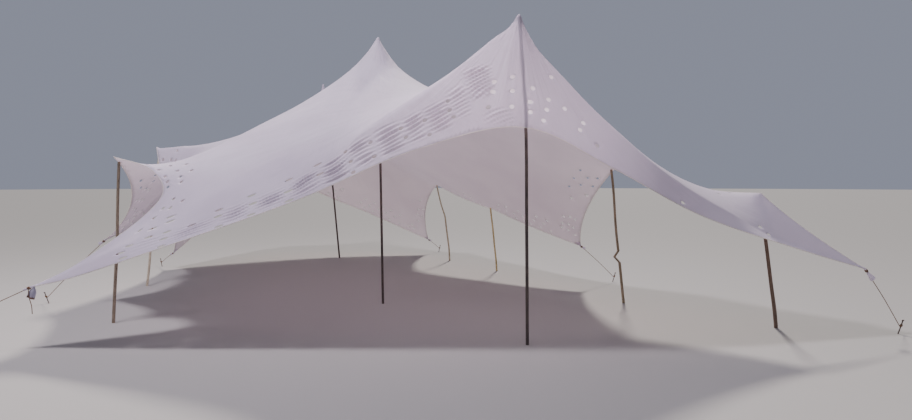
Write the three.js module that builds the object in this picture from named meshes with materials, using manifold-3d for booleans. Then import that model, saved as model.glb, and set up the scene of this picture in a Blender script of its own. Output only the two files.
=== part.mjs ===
// A stretch tent: one elastic fabric canopy raised by three masts, held up round its edge by six side
// poles, and drawn down to six low corners that are tied by ropes to ground pegs.
// Millimetres. +X runs to the right of the long front edge, +Y to the rear and +Z up from the ground.
import * as THREE from 'three';
import { mergeVertices } from 'three/addons/utils/BufferGeometryUtils.js';
import Module from 'manifold-3d';

const wasm = await Module();
wasm.setup();

// Driving dimensions. Places are measured from the foot of the centre mast.
const MASTS = {
  front_mast: { foot: [2040, -2830], top: [1940, -2830, 4000], radius: 20 },
  centre_mast: { foot: [0, 0], top: [-80, 0, 4300], radius: 20 },
  rear_mast: { foot: [-1800, 6600], top: [-2220, 6600, 4400], radius: 22 },
};
const SIDE_POLES = {
  left_front_pole: { foot: [-3600, -1530], top: [-3520, -1530, 2315], radius: 22 },
  left_rear_pole: { foot: [-4635, 1875], top: [-4390, 1875, 2620], radius: 22 },
  rear_right_pole: { foot: [1020, 6025], top: [700, 6010, 1880], radius: 20 },
  right_rear_pole: { foot: [2070, 4045], top: [1935, 4045, 1360], radius: 20 },
  right_middle_pole: { foot: [3895, 55], top: [3690, 55, 2190], radius: 22 },
  right_front_pole: { foot: [5490, -1860], top: [5265, -1860, 1820], radius: 25 },
};
const CORNERS = {
  front_left: { tip: [-3860, -2990, 725], peg: [-5010, -3500] },
  front_right: { tip: [6440, -2290, 850], peg: [6900, -2230] },
  left: { tip: [-4490, 10, 1025], peg: [-5400, 20] },
  rear_left: { tip: [-5200, 4510, 350], peg: [-5590, 4830] },
  rear_right: { tip: [430, 7710, 380], peg: [700, 8140] },
  right: { tip: [3545, 2010, 745], peg: [4240, 2400] },
};
const FABRIC_HEIGHT = 8;
const FIT_GAP = 0.3;
const SEAM_INSET = 0.25;
const SHARPEST_INSET = 0.2;
const NET_DIVISIONS = 6;
// The net is finer towards each mast: a place's share of the way from the mast is raised to this power.
const NET_GRADING = 1.4;
const RUN_STEPS = 12;
const SETTLING_ROUNDS = 6;
const SETTLING_STEP = 0.7;
const SOLVER_ROUNDS = 2000;
const SOLVER_LIMIT = 1e-9;
// How strongly, and within how many metres of its top, a mast draws the fabric up to a cone.
const MAST_CONE = 4.5;
const MAST_TIP = 0.06;
// Poles are made too long by the rise, then cut by the room over the fabric within the reach of their top.
const TRIM_RISE = 300;
const TRIM_REACH = 900;
const TRIM_HEIGHT = 2000;
const POLE_SIDES = 12;
const HEM_OVERHANG = 70;
const TENT_MIDDLE_Y = 1300;
const ROPE_RADIUS = 5;
const ROPE_SIDES = 8;
const PEG = { radius: 8, height: 170, lean: 70, headRadius: 15, headHeight: 12, tieHeight: 110 };
// The knot's outline as shares of its radius and length: the gathered tip, the turns of rope, the end.
const KNOT = {
  radius: 34,
  length: 130,
  sides: 10,
  ropeAt: 0.53,
  profile: [[0, 0], [0.35, 0.2], [0.6, 0.32], [1, 0.44], [1, 0.62], [0.6, 0.76], [0.45, 1], [0, 1]],
};
// The free rope end's route, from the middle of the knot down.
const ROPE_END_ROUTE = [[0, 0, -20], [10, -4, -110], [44, -12, -210], [54, -15, -305]];

// Points of the canopy's edge between its corners and poles, and of the ridges over it.
const CANOPY_POINTS = {
  front_1: [-2304, -3060, 1192],
  front_2: [-661, -3080, 1770],
  front_3: [695, -3100, 2345],
  front_4: [1977, -3100, 2610],
  front_5: [3045, -3000, 2128],
  front_6: [4136, -2800, 1571],
  front_7: [5505, -2490, 1120],
  left_bay: [-2720, -2020, 1780],
  left_bay_upper: [-3060, -1600, 2150],
  rear_1: [-1940, 8210, 1350],
  rear_2: [-3840, 7610, 1990],
  left_ridge_1: [178, -2820, 2666],
  left_ridge_2: [-1410, -2840, 1716],
  left_ridge_3: [-2480, -2760, 1363],
  right_ridge_1: [4009, -2600, 1932],
  right_ridge_2: [5145, -2420, 1297],
};

// Curves of the canopy through named points and, between those, places of their own: its edges, the
// two ridges along the front, and the ridge from the left rear pole to the centre mast.
const CANOPY_RUNS = [
  ['front_left', 'front_1', 'front_2', 'front_3', 'front_4', 'front_5', 'front_6', 'front_7', 'front_right'],
  ['left_front_pole', 'left_bay_upper', 'left_bay', 'front_left'],
  ['rear_right', 'rear_1', 'rear_2', 'rear_left'],
  ['front_mast', [1823, -2830, 3838], [1640, -2828, 3717], [1339, -2826, 3482], [1045, -2824, 3252],
    [803, -2822, 3095], [500, -2820, 2878], 'left_ridge_1', [-21, -2820, 2527], [-226, -2820, 2297],
    [-528, -2825, 2103], [-823, -2830, 1958], 'left_ridge_2', 'left_ridge_3', 'front_left'],
  ['front_mast', [2000, -2826, 3863], [2061, -2823, 3712], [2166, -2818, 3568], [2299, -2810, 3424],
    [2550, -2790, 3172], [2833, -2760, 2884], [3186, -2720, 2570], [3567, -2670, 2246], 'right_ridge_1',
    [4561, -2520, 1612], 'right_ridge_2', 'front_right'],
  ['left_rear_pole', [-3442, 1462, 2670], [-2623, 1106, 2790], [-2106, 881, 2980], [-1588, 656, 3180],
    [-813, 319, 3550], [-425, 150, 3870], 'centre_mast'],
];
// Edges between two points, each with the place its middle hangs at.
const EDGE_BAYS = [
  { from: 'front_right', to: 'right_front_pole', middle: [5735, -2120, 1365] },
  { from: 'right_front_pole', to: 'right_middle_pole', middle: [4550, -950, 1900] },
  { from: 'right_middle_pole', to: 'right', middle: [3490, 1100, 1460] },
  { from: 'right', to: 'right_rear_pole', middle: [2700, 3000, 1050] },
  { from: 'right_rear_pole', to: 'rear_right_pole', middle: [1300, 5000, 1590] },
  { from: 'rear_right_pole', to: 'rear_right', middle: [400, 6720, 1250] },
  { from: 'rear_left', to: 'left_rear_pole', middle: [-4600, 3100, 1400] },
  { from: 'left_rear_pole', to: 'left', middle: [-4250, 950, 1700] },
  { from: 'left', to: 'left_front_pole', middle: [-3620, -940, 1700] },
];
// Stress lines from a mast, where the fabric is pulled tightest.
const STRESS_LINES = [
  { from: 'front_mast', to: 'centre_mast', pull: 1 },
  { from: 'centre_mast', to: 'left_front_pole', pull: 1.5 },
  { from: 'centre_mast', to: 'right_middle_pole', pull: 1 },
  { from: 'rear_mast', to: 'centre_mast', pull: 3 },
  { from: 'rear_mast', to: 'left_rear_pole', pull: 3 },
  { from: 'rear_mast', to: 'right_rear_pole', pull: 3 },
  { from: 'rear_mast', to: 'rear_right_pole', pull: 3 },
  { from: 'rear_mast', to: 'rear_right', pull: 2 },
  { from: 'rear_mast', to: 'rear_1', pull: 3 },
  { from: 'rear_mast', to: 'rear_2', pull: 3 },
  { from: 'rear_mast', to: 'rear_left', pull: 2 },
];

// The canopy's panels, each a few triangles of the net between named points.
const PANELS = {
  front_left_corner: [
    ['front_left', 'front_1', 'left_ridge_3'],
    ['front_left', 'left_ridge_3', 'left_bay'],
  ],
  front_left_border: [
    ['front_1', 'left_ridge_2', 'left_ridge_3'],
    ['front_1', 'front_2', 'left_ridge_2'],
    ['front_2', 'left_ridge_1', 'left_ridge_2'],
    ['front_2', 'front_3', 'left_ridge_1'],
  ],
  front_gable_left: [
    ['front_3', 'front_mast', 'left_ridge_1'],
    ['front_3', 'front_4', 'front_mast'],
  ],
  front_gable_right: [
    ['front_4', 'front_5', 'front_mast'],
    ['front_5', 'right_ridge_1', 'front_mast'],
  ],
  front_right_border: [
    ['front_5', 'front_6', 'right_ridge_1'],
    ['front_6', 'right_ridge_2', 'right_ridge_1'],
    ['front_6', 'front_7', 'right_ridge_2'],
  ],
  front_right_corner: [
    ['front_7', 'front_right', 'right_ridge_2'],
    ['right_ridge_2', 'front_right', 'right_front_pole'],
  ],
  left_slope: [
    ['left_ridge_3', 'left_ridge_2', 'left_bay'],
    ['left_bay', 'left_ridge_2', 'left_bay_upper'],
    ['left_bay_upper', 'left_ridge_2', 'centre_mast'],
    ['left_bay_upper', 'centre_mast', 'left_front_pole'],
  ],
  front_left_saddle: [
    ['left_ridge_2', 'left_ridge_1', 'centre_mast'],
    ['left_ridge_1', 'front_mast', 'centre_mast'],
  ],
  right_slope: [
    ['right_ridge_1', 'right_ridge_2', 'right_front_pole'],
    ['right_ridge_1', 'right_front_pole', 'right_middle_pole'],
    ['front_mast', 'right_ridge_1', 'right_middle_pole'],
  ],
  front_right_saddle: [['front_mast', 'right_middle_pole', 'centre_mast']],
  right_gable: [
    ['centre_mast', 'right_middle_pole', 'right'],
    ['centre_mast', 'right', 'right_rear_pole'],
  ],
  rear_right_saddle: [['centre_mast', 'right_rear_pole', 'rear_mast']],
  rear_right_slope: [['rear_mast', 'right_rear_pole', 'rear_right_pole']],
  rear_right_corner: [
    ['rear_mast', 'rear_right_pole', 'rear_right'],
    ['rear_mast', 'rear_right', 'rear_1'],
  ],
  rear_gable: [['rear_mast', 'rear_1', 'rear_2']],
  rear_left_corner: [
    ['rear_mast', 'rear_2', 'rear_left'],
    ['rear_mast', 'rear_left', 'left_rear_pole'],
  ],
  rear_left_saddle: [['centre_mast', 'rear_mast', 'left_rear_pole']],
  left_gable: [
    ['centre_mast', 'left_rear_pole', 'left'],
    ['centre_mast', 'left', 'left_front_pole'],
  ],
};

const COLOURS = {
  fabric: { color: 0xcfc8d4, roughness: 0.85, metalness: 0 },
  mast: { color: 0x4a4040, roughness: 0.5, metalness: 0.6 },
  pole: { color: 0xb59a78, roughness: 0.8, metalness: 0 },
  darkPole: { color: 0x55463c, roughness: 0.8, metalness: 0 },
  rope: { color: 0xbdb4a6, roughness: 0.9, metalness: 0 },
  peg: { color: 0x6f6d6a, roughness: 0.5, metalness: 0.8 },
};

const group = new THREE.Group();

function addPiece(name, geometry, look) {
  const mesh = new THREE.Mesh(geometry, new THREE.MeshStandardMaterial(COLOURS[look]));
  mesh.name = name;
  group.add(mesh);
}

// Named points

// The level direction from the tent's middle to a place.
function outwards([x, y]) {
  return new THREE.Vector3(x, y - TENT_MIDDLE_Y, 0).normalize();
}

function namedPoints() {
  const points = {};
  for (const [name, mast] of Object.entries(MASTS)) points[name] = new THREE.Vector3(...mast.top);
  for (const [name, pole] of Object.entries(SIDE_POLES)) {
    points[name] = new THREE.Vector3(...pole.top).addScaledVector(outwards(pole.foot), HEM_OVERHANG);
  }
  for (const [name, corner] of Object.entries(CORNERS)) points[name] = new THREE.Vector3(...corner.tip);
  for (const [name, place] of Object.entries(CANOPY_POINTS)) points[name] = new THREE.Vector3(...place);
  return points;
}

// Curves, keyed by the names of their two ends and evenly paced from one to the other

function canopyCurves(points) {
  const curves = new Map();
  const addCurve = (from, to, curve) => {
    curves.set(`${from}|${to}`, (share) => curve.getPointAt(share));
    curves.set(`${to}|${from}`, (share) => curve.getPointAt(1 - share));
  };
  for (const run of CANOPY_RUNS) {
    const isName = (stop) => typeof stop === 'string';
    const places = run.map((stop) => (isName(stop) ? points[stop] : new THREE.Vector3(...stop)));
    const spline = new THREE.CatmullRomCurve3(places, false, 'centripetal');
    let from = 0;
    for (let to = 1; to < run.length; to += 1) {
      if (!isName(run[to])) continue;
      const steps = (to - from) * RUN_STEPS;
      const stretch = Array.from({ length: steps + 1 }, (_, i) => (
        spline.getPoint((from + i / RUN_STEPS) / (run.length - 1))
      ));
      addCurve(run[from], run[to], new THREE.CatmullRomCurve3(stretch));
      from = to;
    }
  }
  for (const { from, to, middle } of EDGE_BAYS) {
    const control = new THREE.Vector3(...middle).multiplyScalar(2);
    control.addScaledVector(points[from], -0.5).addScaledVector(points[to], -0.5);
    addCurve(from, to, new THREE.QuadraticBezierCurve3(points[from], control, points[to]));
  }
  return curves;
}

// The net: every panel triangle divided evenly, finer towards a mast, its sides bent to the curves

function gradeShares(names, shares) {
  const graded = shares.slice();
  const mastCorners = [0, 1, 2].filter((i) => names[i] in MASTS);
  mastCorners.sort((i, j) => (names[i] < names[j] ? -1 : 1));
  for (const corner of mastCorners) {
    const rest = 1 - graded[corner];
    if (rest === 0) continue;
    const newRest = rest ** NET_GRADING;
    for (let i = 0; i < 3; i += 1) graded[i] *= newRest / rest;
    graded[corner] = 1 - newRest;
  }
  return graded;
}

function bendTriangle(corners, names, curves, shares) {
  const place = new THREE.Vector3();
  corners.forEach((corner, i) => place.addScaledVector(corner, shares[i]));
  for (const [i, j] of [[0, 1], [1, 2], [2, 0]]) {
    const curve = curves.get(`${names[i]}|${names[j]}`);
    const reach = shares[i] + shares[j];
    if (!curve || reach === 0) continue;
    const share = shares[j] / reach;
    const bend = curve(share).sub(corners[i].clone().lerp(corners[j], share));
    place.addScaledVector(bend, reach * reach);
  }
  return place;
}

function vertexKey(names, steps) {
  const parts = names.map((name, i) => ({ name, step: steps[i] })).filter((part) => part.step > 0);
  parts.sort((a, b) => (a.name < b.name ? -1 : 1));
  return parts.map((part) => `${part.name}:${part.step}`).join('|');
}

// A vertex is fixed at a named point and on a curve. The others find their height by settling.
function buildNet(points, curves) {
  const net = { places: [], fixed: [], index: new Map(), panels: {} };
  const vertexAt = (names, steps) => {
    const key = vertexKey(names, steps);
    if (!net.index.has(key)) {
      const shares = gradeShares(names, steps.map((step) => step / NET_DIVISIONS));
      const corners = names.map((name) => points[name]);
      const used = names.filter((name, i) => steps[i] > 0);
      net.index.set(key, net.places.length);
      net.places.push(bendTriangle(corners, names, curves, shares));
      net.fixed.push(used.length === 1 || curves.has(used.join('|')));
    }
    return net.index.get(key);
  };
  for (const [panel, triangles] of Object.entries(PANELS)) {
    net.panels[panel] = [];
    for (const names of triangles) {
      for (let i = 0; i < NET_DIVISIONS; i += 1) {
        for (let j = 0; j < NET_DIVISIONS - i; j += 1) {
          const at = (a, b) => vertexAt(names, [NET_DIVISIONS - a - b, a, b]);
          net.panels[panel].push([at(i, j), at(i + 1, j), at(i, j + 1)]);
          if (i + j === NET_DIVISIONS - 1) continue;
          net.panels[panel].push([at(i + 1, j), at(i + 1, j + 1), at(i, j + 1)]);
        }
      }
    }
  }
  return net;
}

// Heights: the fabric hangs in balance between its edge, its ridges, its masts and its stress lines. The
// pull in it grows towards each mast, so that the fabric rises to a cone there.

function pullAt(x, y) {
  let pull = 1;
  for (const mast of Object.values(MASTS)) {
    const metres = Math.hypot(x - mast.top[0], y - mast.top[1]) / 1000;
    pull += MAST_CONE / (metres + MAST_TIP);
  }
  return pull;
}

// The links between neighbouring vertices and how strongly each pulls, in the places given.
function netLinks(net, places) {
  const links = new Map();
  const addLink = (a, b, strength) => {
    const key = a < b ? `${a}|${b}` : `${b}|${a}`;
    links.set(key, (links.get(key) ?? 0) + strength);
  };
  for (const triangle of Object.values(net.panels).flat()) {
    const [a, b, c] = triangle.map((vertex) => places[vertex]);
    const pull = pullAt((a.x + b.x + c.x) / 3, (a.y + b.y + c.y) / 3);
    for (let k = 0; k < 3; k += 1) {
      const [tip, from, to] = [0, 1, 2].map((step) => triangle[(k + step) % 3]);
      const u = places[from].clone().sub(places[tip]);
      const v = places[to].clone().sub(places[tip]);
      addLink(from, to, (pull * u.dot(v)) / (2 * u.clone().cross(v).length()));
    }
  }
  for (const { from, to, pull } of STRESS_LINES) {
    for (let i = 0; i < NET_DIVISIONS; i += 1) {
      const a = net.index.get(vertexKey([from, to], [NET_DIVISIONS - i, i]));
      const b = net.index.get(vertexKey([from, to], [NET_DIVISIONS - i - 1, i + 1]));
      const metres = places[a].distanceTo(places[b]) / 1000;
      addLink(a, b, pull / metres);
    }
  }
  return [...links].map(([key, strength]) => [...key.split('|').map(Number), strength]);
}

// The heights in which the links balance each other, found by conjugate gradients.
function balanceHeights(net, links) {
  const heights = net.places.map((place) => place.z);
  const diagonal = new Float64Array(heights.length);
  for (const [a, b, strength] of links) {
    diagonal[a] += strength;
    diagonal[b] += strength;
  }
  const applyLinks = (values) => {
    const result = new Float64Array(heights.length);
    for (const [a, b, strength] of links) {
      const share = strength * (values[a] - values[b]);
      result[a] += share;
      result[b] -= share;
    }
    return result.map((value, i) => (net.fixed[i] ? 0 : value));
  };
  const dot = (a, b) => a.reduce((sum, value, i) => sum + value * b[i], 0);
  let residual = applyLinks(heights).map((value) => -value);
  let scaled = residual.map((value, i) => value / diagonal[i]);
  let direction = scaled.slice();
  let energy = dot(residual, scaled);
  for (let round = 0; round < SOLVER_ROUNDS && energy > SOLVER_LIMIT; round += 1) {
    const pushed = applyLinks(direction);
    const step = energy / dot(direction, pushed);
    direction.forEach((value, i) => { heights[i] += step * value; });
    residual = residual.map((value, i) => value - step * pushed[i]);
    scaled = residual.map((value, i) => value / diagonal[i]);
    const nextEnergy = dot(residual, scaled);
    direction = scaled.map((value, i) => value + (nextEnergy / energy) * direction[i]);
    energy = nextEnergy;
  }
  return heights;
}

// The first round works in plan, the later ones on the fabric as it then hangs.
function settleHeights(net) {
  const plan = net.places.map((place) => new THREE.Vector3(place.x, place.y, 0));
  for (let round = 0; round < SETTLING_ROUNDS; round += 1) {
    const links = netLinks(net, round === 0 ? plan : net.places);
    const heights = balanceHeights(net, links);
    const step = round === 0 ? 1 : SETTLING_STEP;
    net.places.forEach((place, i) => { place.z += step * (heights[i] - place.z); });
  }
}

// Solids

// The direction square to the fabric at each vertex, outwards from its top.
function netNormals(net) {
  const normals = net.places.map(() => new THREE.Vector3());
  for (const triangle of Object.values(net.panels).flat()) {
    const [a, b, c] = triangle.map((vertex) => net.places[vertex]);
    const square = b.clone().sub(a).cross(c.clone().sub(a));
    for (const vertex of triangle) normals[vertex].add(square);
  }
  return normals.map((normal) => normal.normalize());
}

// Each directed side that no second triangle shares is part of the outline. It comes with the third
// corner of its own triangle.
function outlineSides(triangles) {
  const sides = new Map();
  for (const triangle of triangles) {
    for (let k = 0; k < 3; k += 1) {
      const [from, to, opposite] = [0, 1, 2].map((step) => triangle[(k + step) % 3]);
      sides.set(`${from}|${to}`, [from, to, opposite]);
    }
  }
  return [...sides.values()].filter(([from, to]) => !sides.has(`${to}|${from}`));
}

// How far each vertex at a panel's seams moves inwards, along the panel. The canopy's own hem stays.
function seamInsets(triangles, inset) {
  const inwards = new Map();
  for (const side of outlineSides(triangles)) {
    if (net.hem.has(`${side[0]}|${side[1]}`)) continue;
    const [from, to, opposite] = side.map((vertex) => net.places[vertex]);
    const along = to.clone().sub(from).normalize();
    const inward = opposite.clone().sub(from);
    inward.addScaledVector(along, -inward.dot(along)).normalize();
    for (const vertex of side.slice(0, 2)) {
      inwards.set(vertex, [...(inwards.get(vertex) ?? []), inward]);
    }
  }
  const insets = new Map();
  for (const [vertex, [first, second = first]] of inwards) {
    const widen = inset / Math.max(1 + first.dot(second), SHARPEST_INSET);
    insets.set(vertex, first.clone().add(second).multiplyScalar(widen));
  }
  return insets;
}

// A closed solid between two copies of a patch of the net, each moved as its function says. The walls
// of two panels at a seam are split along the same diagonal, so that they run side by side.
function sheetGeometry(triangles, inset, moveBottom, moveTop) {
  const insets = seamInsets(triangles, inset);
  const vertices = [...new Set(triangles.flat())];
  const order = new Map(vertices.map((vertex, i) => [vertex, i]));
  const positions = [];
  for (const move of [moveBottom, moveTop]) {
    for (const vertex of vertices) {
      const place = net.places[vertex].clone().add(insets.get(vertex) ?? new THREE.Vector3());
      positions.push(...move(place, net.normals[vertex]));
    }
  }
  const count = vertices.length;
  const faces = [];
  for (const triangle of triangles) {
    const [a, b, c] = triangle.map((vertex) => order.get(vertex));
    faces.push(a, c, b, a + count, b + count, c + count);
  }
  for (const side of outlineSides(triangles)) {
    const [a, b] = side.map((vertex) => order.get(vertex));
    if (side[0] < side[1]) faces.push(a, b, b + count, a, b + count, a + count);
    else faces.push(a, b, a + count, b, b + count, a + count);
  }
  const geometry = new THREE.BufferGeometry();
  geometry.setAttribute('position', new THREE.Float32BufferAttribute(positions, 3));
  geometry.setIndex(faces);
  return geometry;
}

function toSolid(geometry) {
  const bare = geometry.clone();
  bare.deleteAttribute('normal');
  bare.deleteAttribute('uv');
  const merged = mergeVertices(bare, 1e-4);
  const vertProperties = new Float32Array(merged.attributes.position.array);
  const triVerts = new Uint32Array(merged.index.array);
  return new wasm.Manifold(new wasm.Mesh({ numProp: 3, vertProperties, triVerts }));
}

function toGeometry(solid) {
  const mesh = solid.getMesh();
  const geometry = new THREE.BufferGeometry();
  geometry.setAttribute('position', new THREE.Float32BufferAttribute(Array.from(mesh.vertProperties), 3));
  geometry.setIndex(Array.from(mesh.triVerts));
  return geometry;
}

// A round bar from one place to another with level ends.
function levelBar(foot, top, radius, sides) {
  const height = top.z - foot.z;
  const geometry = new THREE.CylinderGeometry(radius, radius, height, sides);
  geometry.rotateX(Math.PI / 2).translate(0, 0, height / 2);
  const shear = new THREE.Matrix4();
  shear.elements[8] = (top.x - foot.x) / height;
  shear.elements[9] = (top.y - foot.y) / height;
  return geometry.applyMatrix4(shear).translate(foot.x, foot.y, foot.z);
}

function alongAxis(geometry, start, direction) {
  const turn = new THREE.Quaternion().setFromUnitVectors(new THREE.Vector3(0, 1, 0), direction);
  return geometry.applyQuaternion(turn).translate(start.x, start.y, start.z);
}

// A round bar from one place to another with its ends square to it.
function squareBar(start, end, radius, sides) {
  const length = start.distanceTo(end);
  const geometry = new THREE.CylinderGeometry(radius, radius, length, sides);
  geometry.translate(0, length / 2, 0);
  return alongAxis(geometry, start, end.clone().sub(start).normalize());
}

// Canopy

const points = namedPoints();
const net = buildNet(points, canopyCurves(points));
settleHeights(net);
net.normals = netNormals(net);
net.hem = new Set(outlineSides(Object.values(net.panels).flat()).map(([from, to]) => `${from}|${to}`));

function addCanopy() {
  const down = (place, normal) => place.addScaledVector(normal, -FABRIC_HEIGHT / 2);
  const up = (place, normal) => place.addScaledVector(normal, FABRIC_HEIGHT / 2);
  for (const [panel, triangles] of Object.entries(net.panels)) {
    addPiece(panel, sheetGeometry(triangles, SEAM_INSET, down, up), 'fabric');
  }
}

// Masts and side poles. Each ends just below the fabric, cut to its slope.

// The room from the fabric's underside upwards, near a place.
function roomAbove(place) {
  const near = Object.values(net.panels).flat().filter((triangle) => (
    triangle.some((vertex) => (
      Math.hypot(net.places[vertex].x - place.x, net.places[vertex].y - place.y) < TRIM_REACH
    ))
  ));
  const underside = (at, normal) => at.addScaledVector(normal, -FABRIC_HEIGHT / 2 - FIT_GAP);
  const high = (at) => at.setZ(at.z + TRIM_HEIGHT);
  return toSolid(sheetGeometry(near, 0, underside, high));
}

function addPole(name, { foot, top, radius }, look) {
  const start = new THREE.Vector3(...foot, 0);
  const end = new THREE.Vector3(...top);
  const above = end.clone().addScaledVector(end.clone().sub(start), TRIM_RISE / end.z);
  const trimmed = toSolid(levelBar(start, above, radius, POLE_SIDES)).subtract(roomAbove(end));
  const pieces = trimmed.decompose().sort((a, b) => a.boundingBox().min[2] - b.boundingBox().min[2]);
  addPiece(name, toGeometry(pieces[0]), look);
}

function addPoles() {
  for (const [name, mast] of Object.entries(MASTS)) addPole(name, mast, 'mast');
  for (const [name, pole] of Object.entries(SIDE_POLES)) {
    addPole(name, pole, name === 'right_front_pole' ? 'darkPole' : 'pole');
  }
}

// Corners: the fabric is gathered in a knot, roped to a peg

function pegGeometry(peg, outward, grow) {
  const foot = new THREE.Vector3(peg[0], peg[1], 0);
  const top = foot.clone().addScaledVector(outward, PEG.lean).setZ(PEG.height);
  const shaft = toSolid(levelBar(foot, top, PEG.radius + grow, POLE_SIDES));
  const headTop = top.clone().addScaledVector(outward, (PEG.lean * PEG.headHeight) / PEG.height);
  headTop.z += PEG.headHeight;
  const head = toSolid(levelBar(top, headTop, PEG.headRadius + grow, POLE_SIDES));
  return shaft.add(head);
}

function knotGeometry(start, direction, grow) {
  const outline = KNOT.profile.map(([share, along]) => (
    new THREE.Vector2(share === 0 ? 0 : share * KNOT.radius + grow, along * KNOT.length)
  ));
  return alongAxis(new THREE.LatheGeometry(outline, KNOT.sides), start, direction);
}

function addCorner(name, { tip, peg }) {
  const tipPlace = new THREE.Vector3(...tip);
  const outward = new THREE.Vector3(peg[0] - tip[0], peg[1] - tip[1], 0).normalize();
  const tie = new THREE.Vector3(...peg, 0).addScaledVector(outward, (PEG.lean * PEG.tieHeight) / PEG.height);
  tie.z = PEG.tieHeight;
  const direction = tie.clone().sub(tipPlace).normalize();

  const knotStart = tipPlace.clone().addScaledVector(direction, FIT_GAP);
  const knot = toSolid(knotGeometry(knotStart, direction, 0));
  addPiece(`${name}_knot`, toGeometry(knot), 'fabric');

  const ropeStart = knotStart.clone().addScaledVector(direction, KNOT.length + FIT_GAP);
  const rope = toSolid(squareBar(ropeStart, tie, ROPE_RADIUS, ROPE_SIDES));
  addPiece(`${name}_rope`, toGeometry(rope.subtract(pegGeometry(peg, outward, FIT_GAP))), 'rope');
  addPiece(`${name}_peg`, toGeometry(pegGeometry(peg, outward, 0)), 'peg');
  return { start: knotStart, direction };
}

// The short free end of the rope hangs from under the front left knot.
function addRopeEnd({ start, direction }) {
  const leave = start.clone().addScaledVector(direction, KNOT.length * KNOT.ropeAt);
  const route = ROPE_END_ROUTE.map((step) => leave.clone().add(new THREE.Vector3(...step)));
  const section = new THREE.Shape();
  for (let i = 0; i < ROPE_SIDES; i += 1) {
    const angle = (i / ROPE_SIDES) * 2 * Math.PI;
    section[i === 0 ? 'moveTo' : 'lineTo'](ROPE_RADIUS * Math.cos(angle), ROPE_RADIUS * Math.sin(angle));
  }
  section.closePath();
  const extrudePath = new THREE.CatmullRomCurve3(route);
  const tube = toSolid(new THREE.ExtrudeGeometry(section, { steps: 14, extrudePath }));
  const knot = toSolid(knotGeometry(start, direction, 2 * FIT_GAP));
  addPiece('front_left_rope_end', toGeometry(tube.subtract(knot)), 'rope');
}

addCanopy();
addPoles();
for (const [name, corner] of Object.entries(CORNERS)) {
  const knot = addCorner(name, corner);
  if (name === 'front_left') addRopeEnd(knot);
}

// The origin is under the middle of the whole tent.
const box = new THREE.Box3().setFromObject(group);
const middle = box.getCenter(new THREE.Vector3());
group.position.set(-middle.x, -middle.y, 0);
group.updateMatrixWorld(true);

export default group;
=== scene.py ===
"""Looks of a stretch tent: one elastic fabric canopy on three masts and six side poles, tied at six low
corners to ground pegs. Metres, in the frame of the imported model."""
import math

import bmesh
import bpy
import numpy as np
from bpy.props import FloatProperty, FloatVectorProperty, IntProperty, PointerProperty
from mathutils import Matrix, Vector, geometry


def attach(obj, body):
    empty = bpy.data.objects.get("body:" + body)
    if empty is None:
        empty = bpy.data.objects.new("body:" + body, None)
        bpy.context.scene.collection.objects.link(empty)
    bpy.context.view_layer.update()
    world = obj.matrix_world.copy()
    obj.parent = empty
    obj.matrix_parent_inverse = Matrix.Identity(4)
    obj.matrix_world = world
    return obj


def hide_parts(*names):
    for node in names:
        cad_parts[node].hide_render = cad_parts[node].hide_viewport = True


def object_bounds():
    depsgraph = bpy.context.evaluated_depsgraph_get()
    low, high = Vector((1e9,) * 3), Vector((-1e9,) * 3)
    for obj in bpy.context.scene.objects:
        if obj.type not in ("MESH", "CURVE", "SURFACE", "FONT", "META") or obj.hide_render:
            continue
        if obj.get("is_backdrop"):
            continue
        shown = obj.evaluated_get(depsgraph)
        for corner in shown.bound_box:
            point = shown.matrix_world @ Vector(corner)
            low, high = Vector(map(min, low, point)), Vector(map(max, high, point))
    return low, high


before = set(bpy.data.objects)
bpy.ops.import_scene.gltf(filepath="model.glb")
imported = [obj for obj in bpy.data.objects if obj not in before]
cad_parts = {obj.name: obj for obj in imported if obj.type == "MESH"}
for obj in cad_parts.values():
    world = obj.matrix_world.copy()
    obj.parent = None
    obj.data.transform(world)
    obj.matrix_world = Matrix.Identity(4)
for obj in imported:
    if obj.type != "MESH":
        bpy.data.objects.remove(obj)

bl_info = {
    "name": "Stretch tent",
    "version": (1, 0, 0),
    "blender": (4, 5, 0),
    "location": "3D View > Sidebar > Stretch Tent",
    "description": "Builds the canopy, masts, poles, ropes and pegs of a stretch tent",
    "category": "Object",
}

CAD_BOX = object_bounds()
# The fabric's thickness.
FABRIC = 0.0015
# The camera stands level. Its place, the width of its sensor in mm, the shift that sets the horizon above
# the middle of the picture, and how far it sees.
CAMERA_PLACE = (1.17766, -11.29264, 1.99396)
SENSOR_WIDTH = 36
CAMERA_SHIFT = -30 / 912
CAMERA_SIGHT = 500
FLOOR_RADIUS = 160
# Lights: kind, place, the place aimed at, size (the sun's in degrees), spread in degrees, power and colour.
LIGHTS = {
    "sun": ("SUN", (0.14, 1.0, 0.85), (0, 0, 0), 6, None, 3.7, (1.0, 0.93, 0.88)),
    "inner_light": ("AREA", (2.31, 0.5, 0.7), (1.8, -3.0, 3.0), 0.25, 62, 44, (0.96, 0.86, 0.96)),
    "top_light": ("AREA", (-4.0, -3.3, 12), (0, 0, 0), 1.6, 180, 1280, (0.95, 0.88, 1.0)),
}
# The knit is drawn with this many loops to a metre. Folds begin and end at these distances from a mast's tip.
KNIT_SCALE = 110.0
FOLDS_BEGIN = (0.08, 0.50)
FOLDS_END = (0.3, 6.0)

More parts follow.
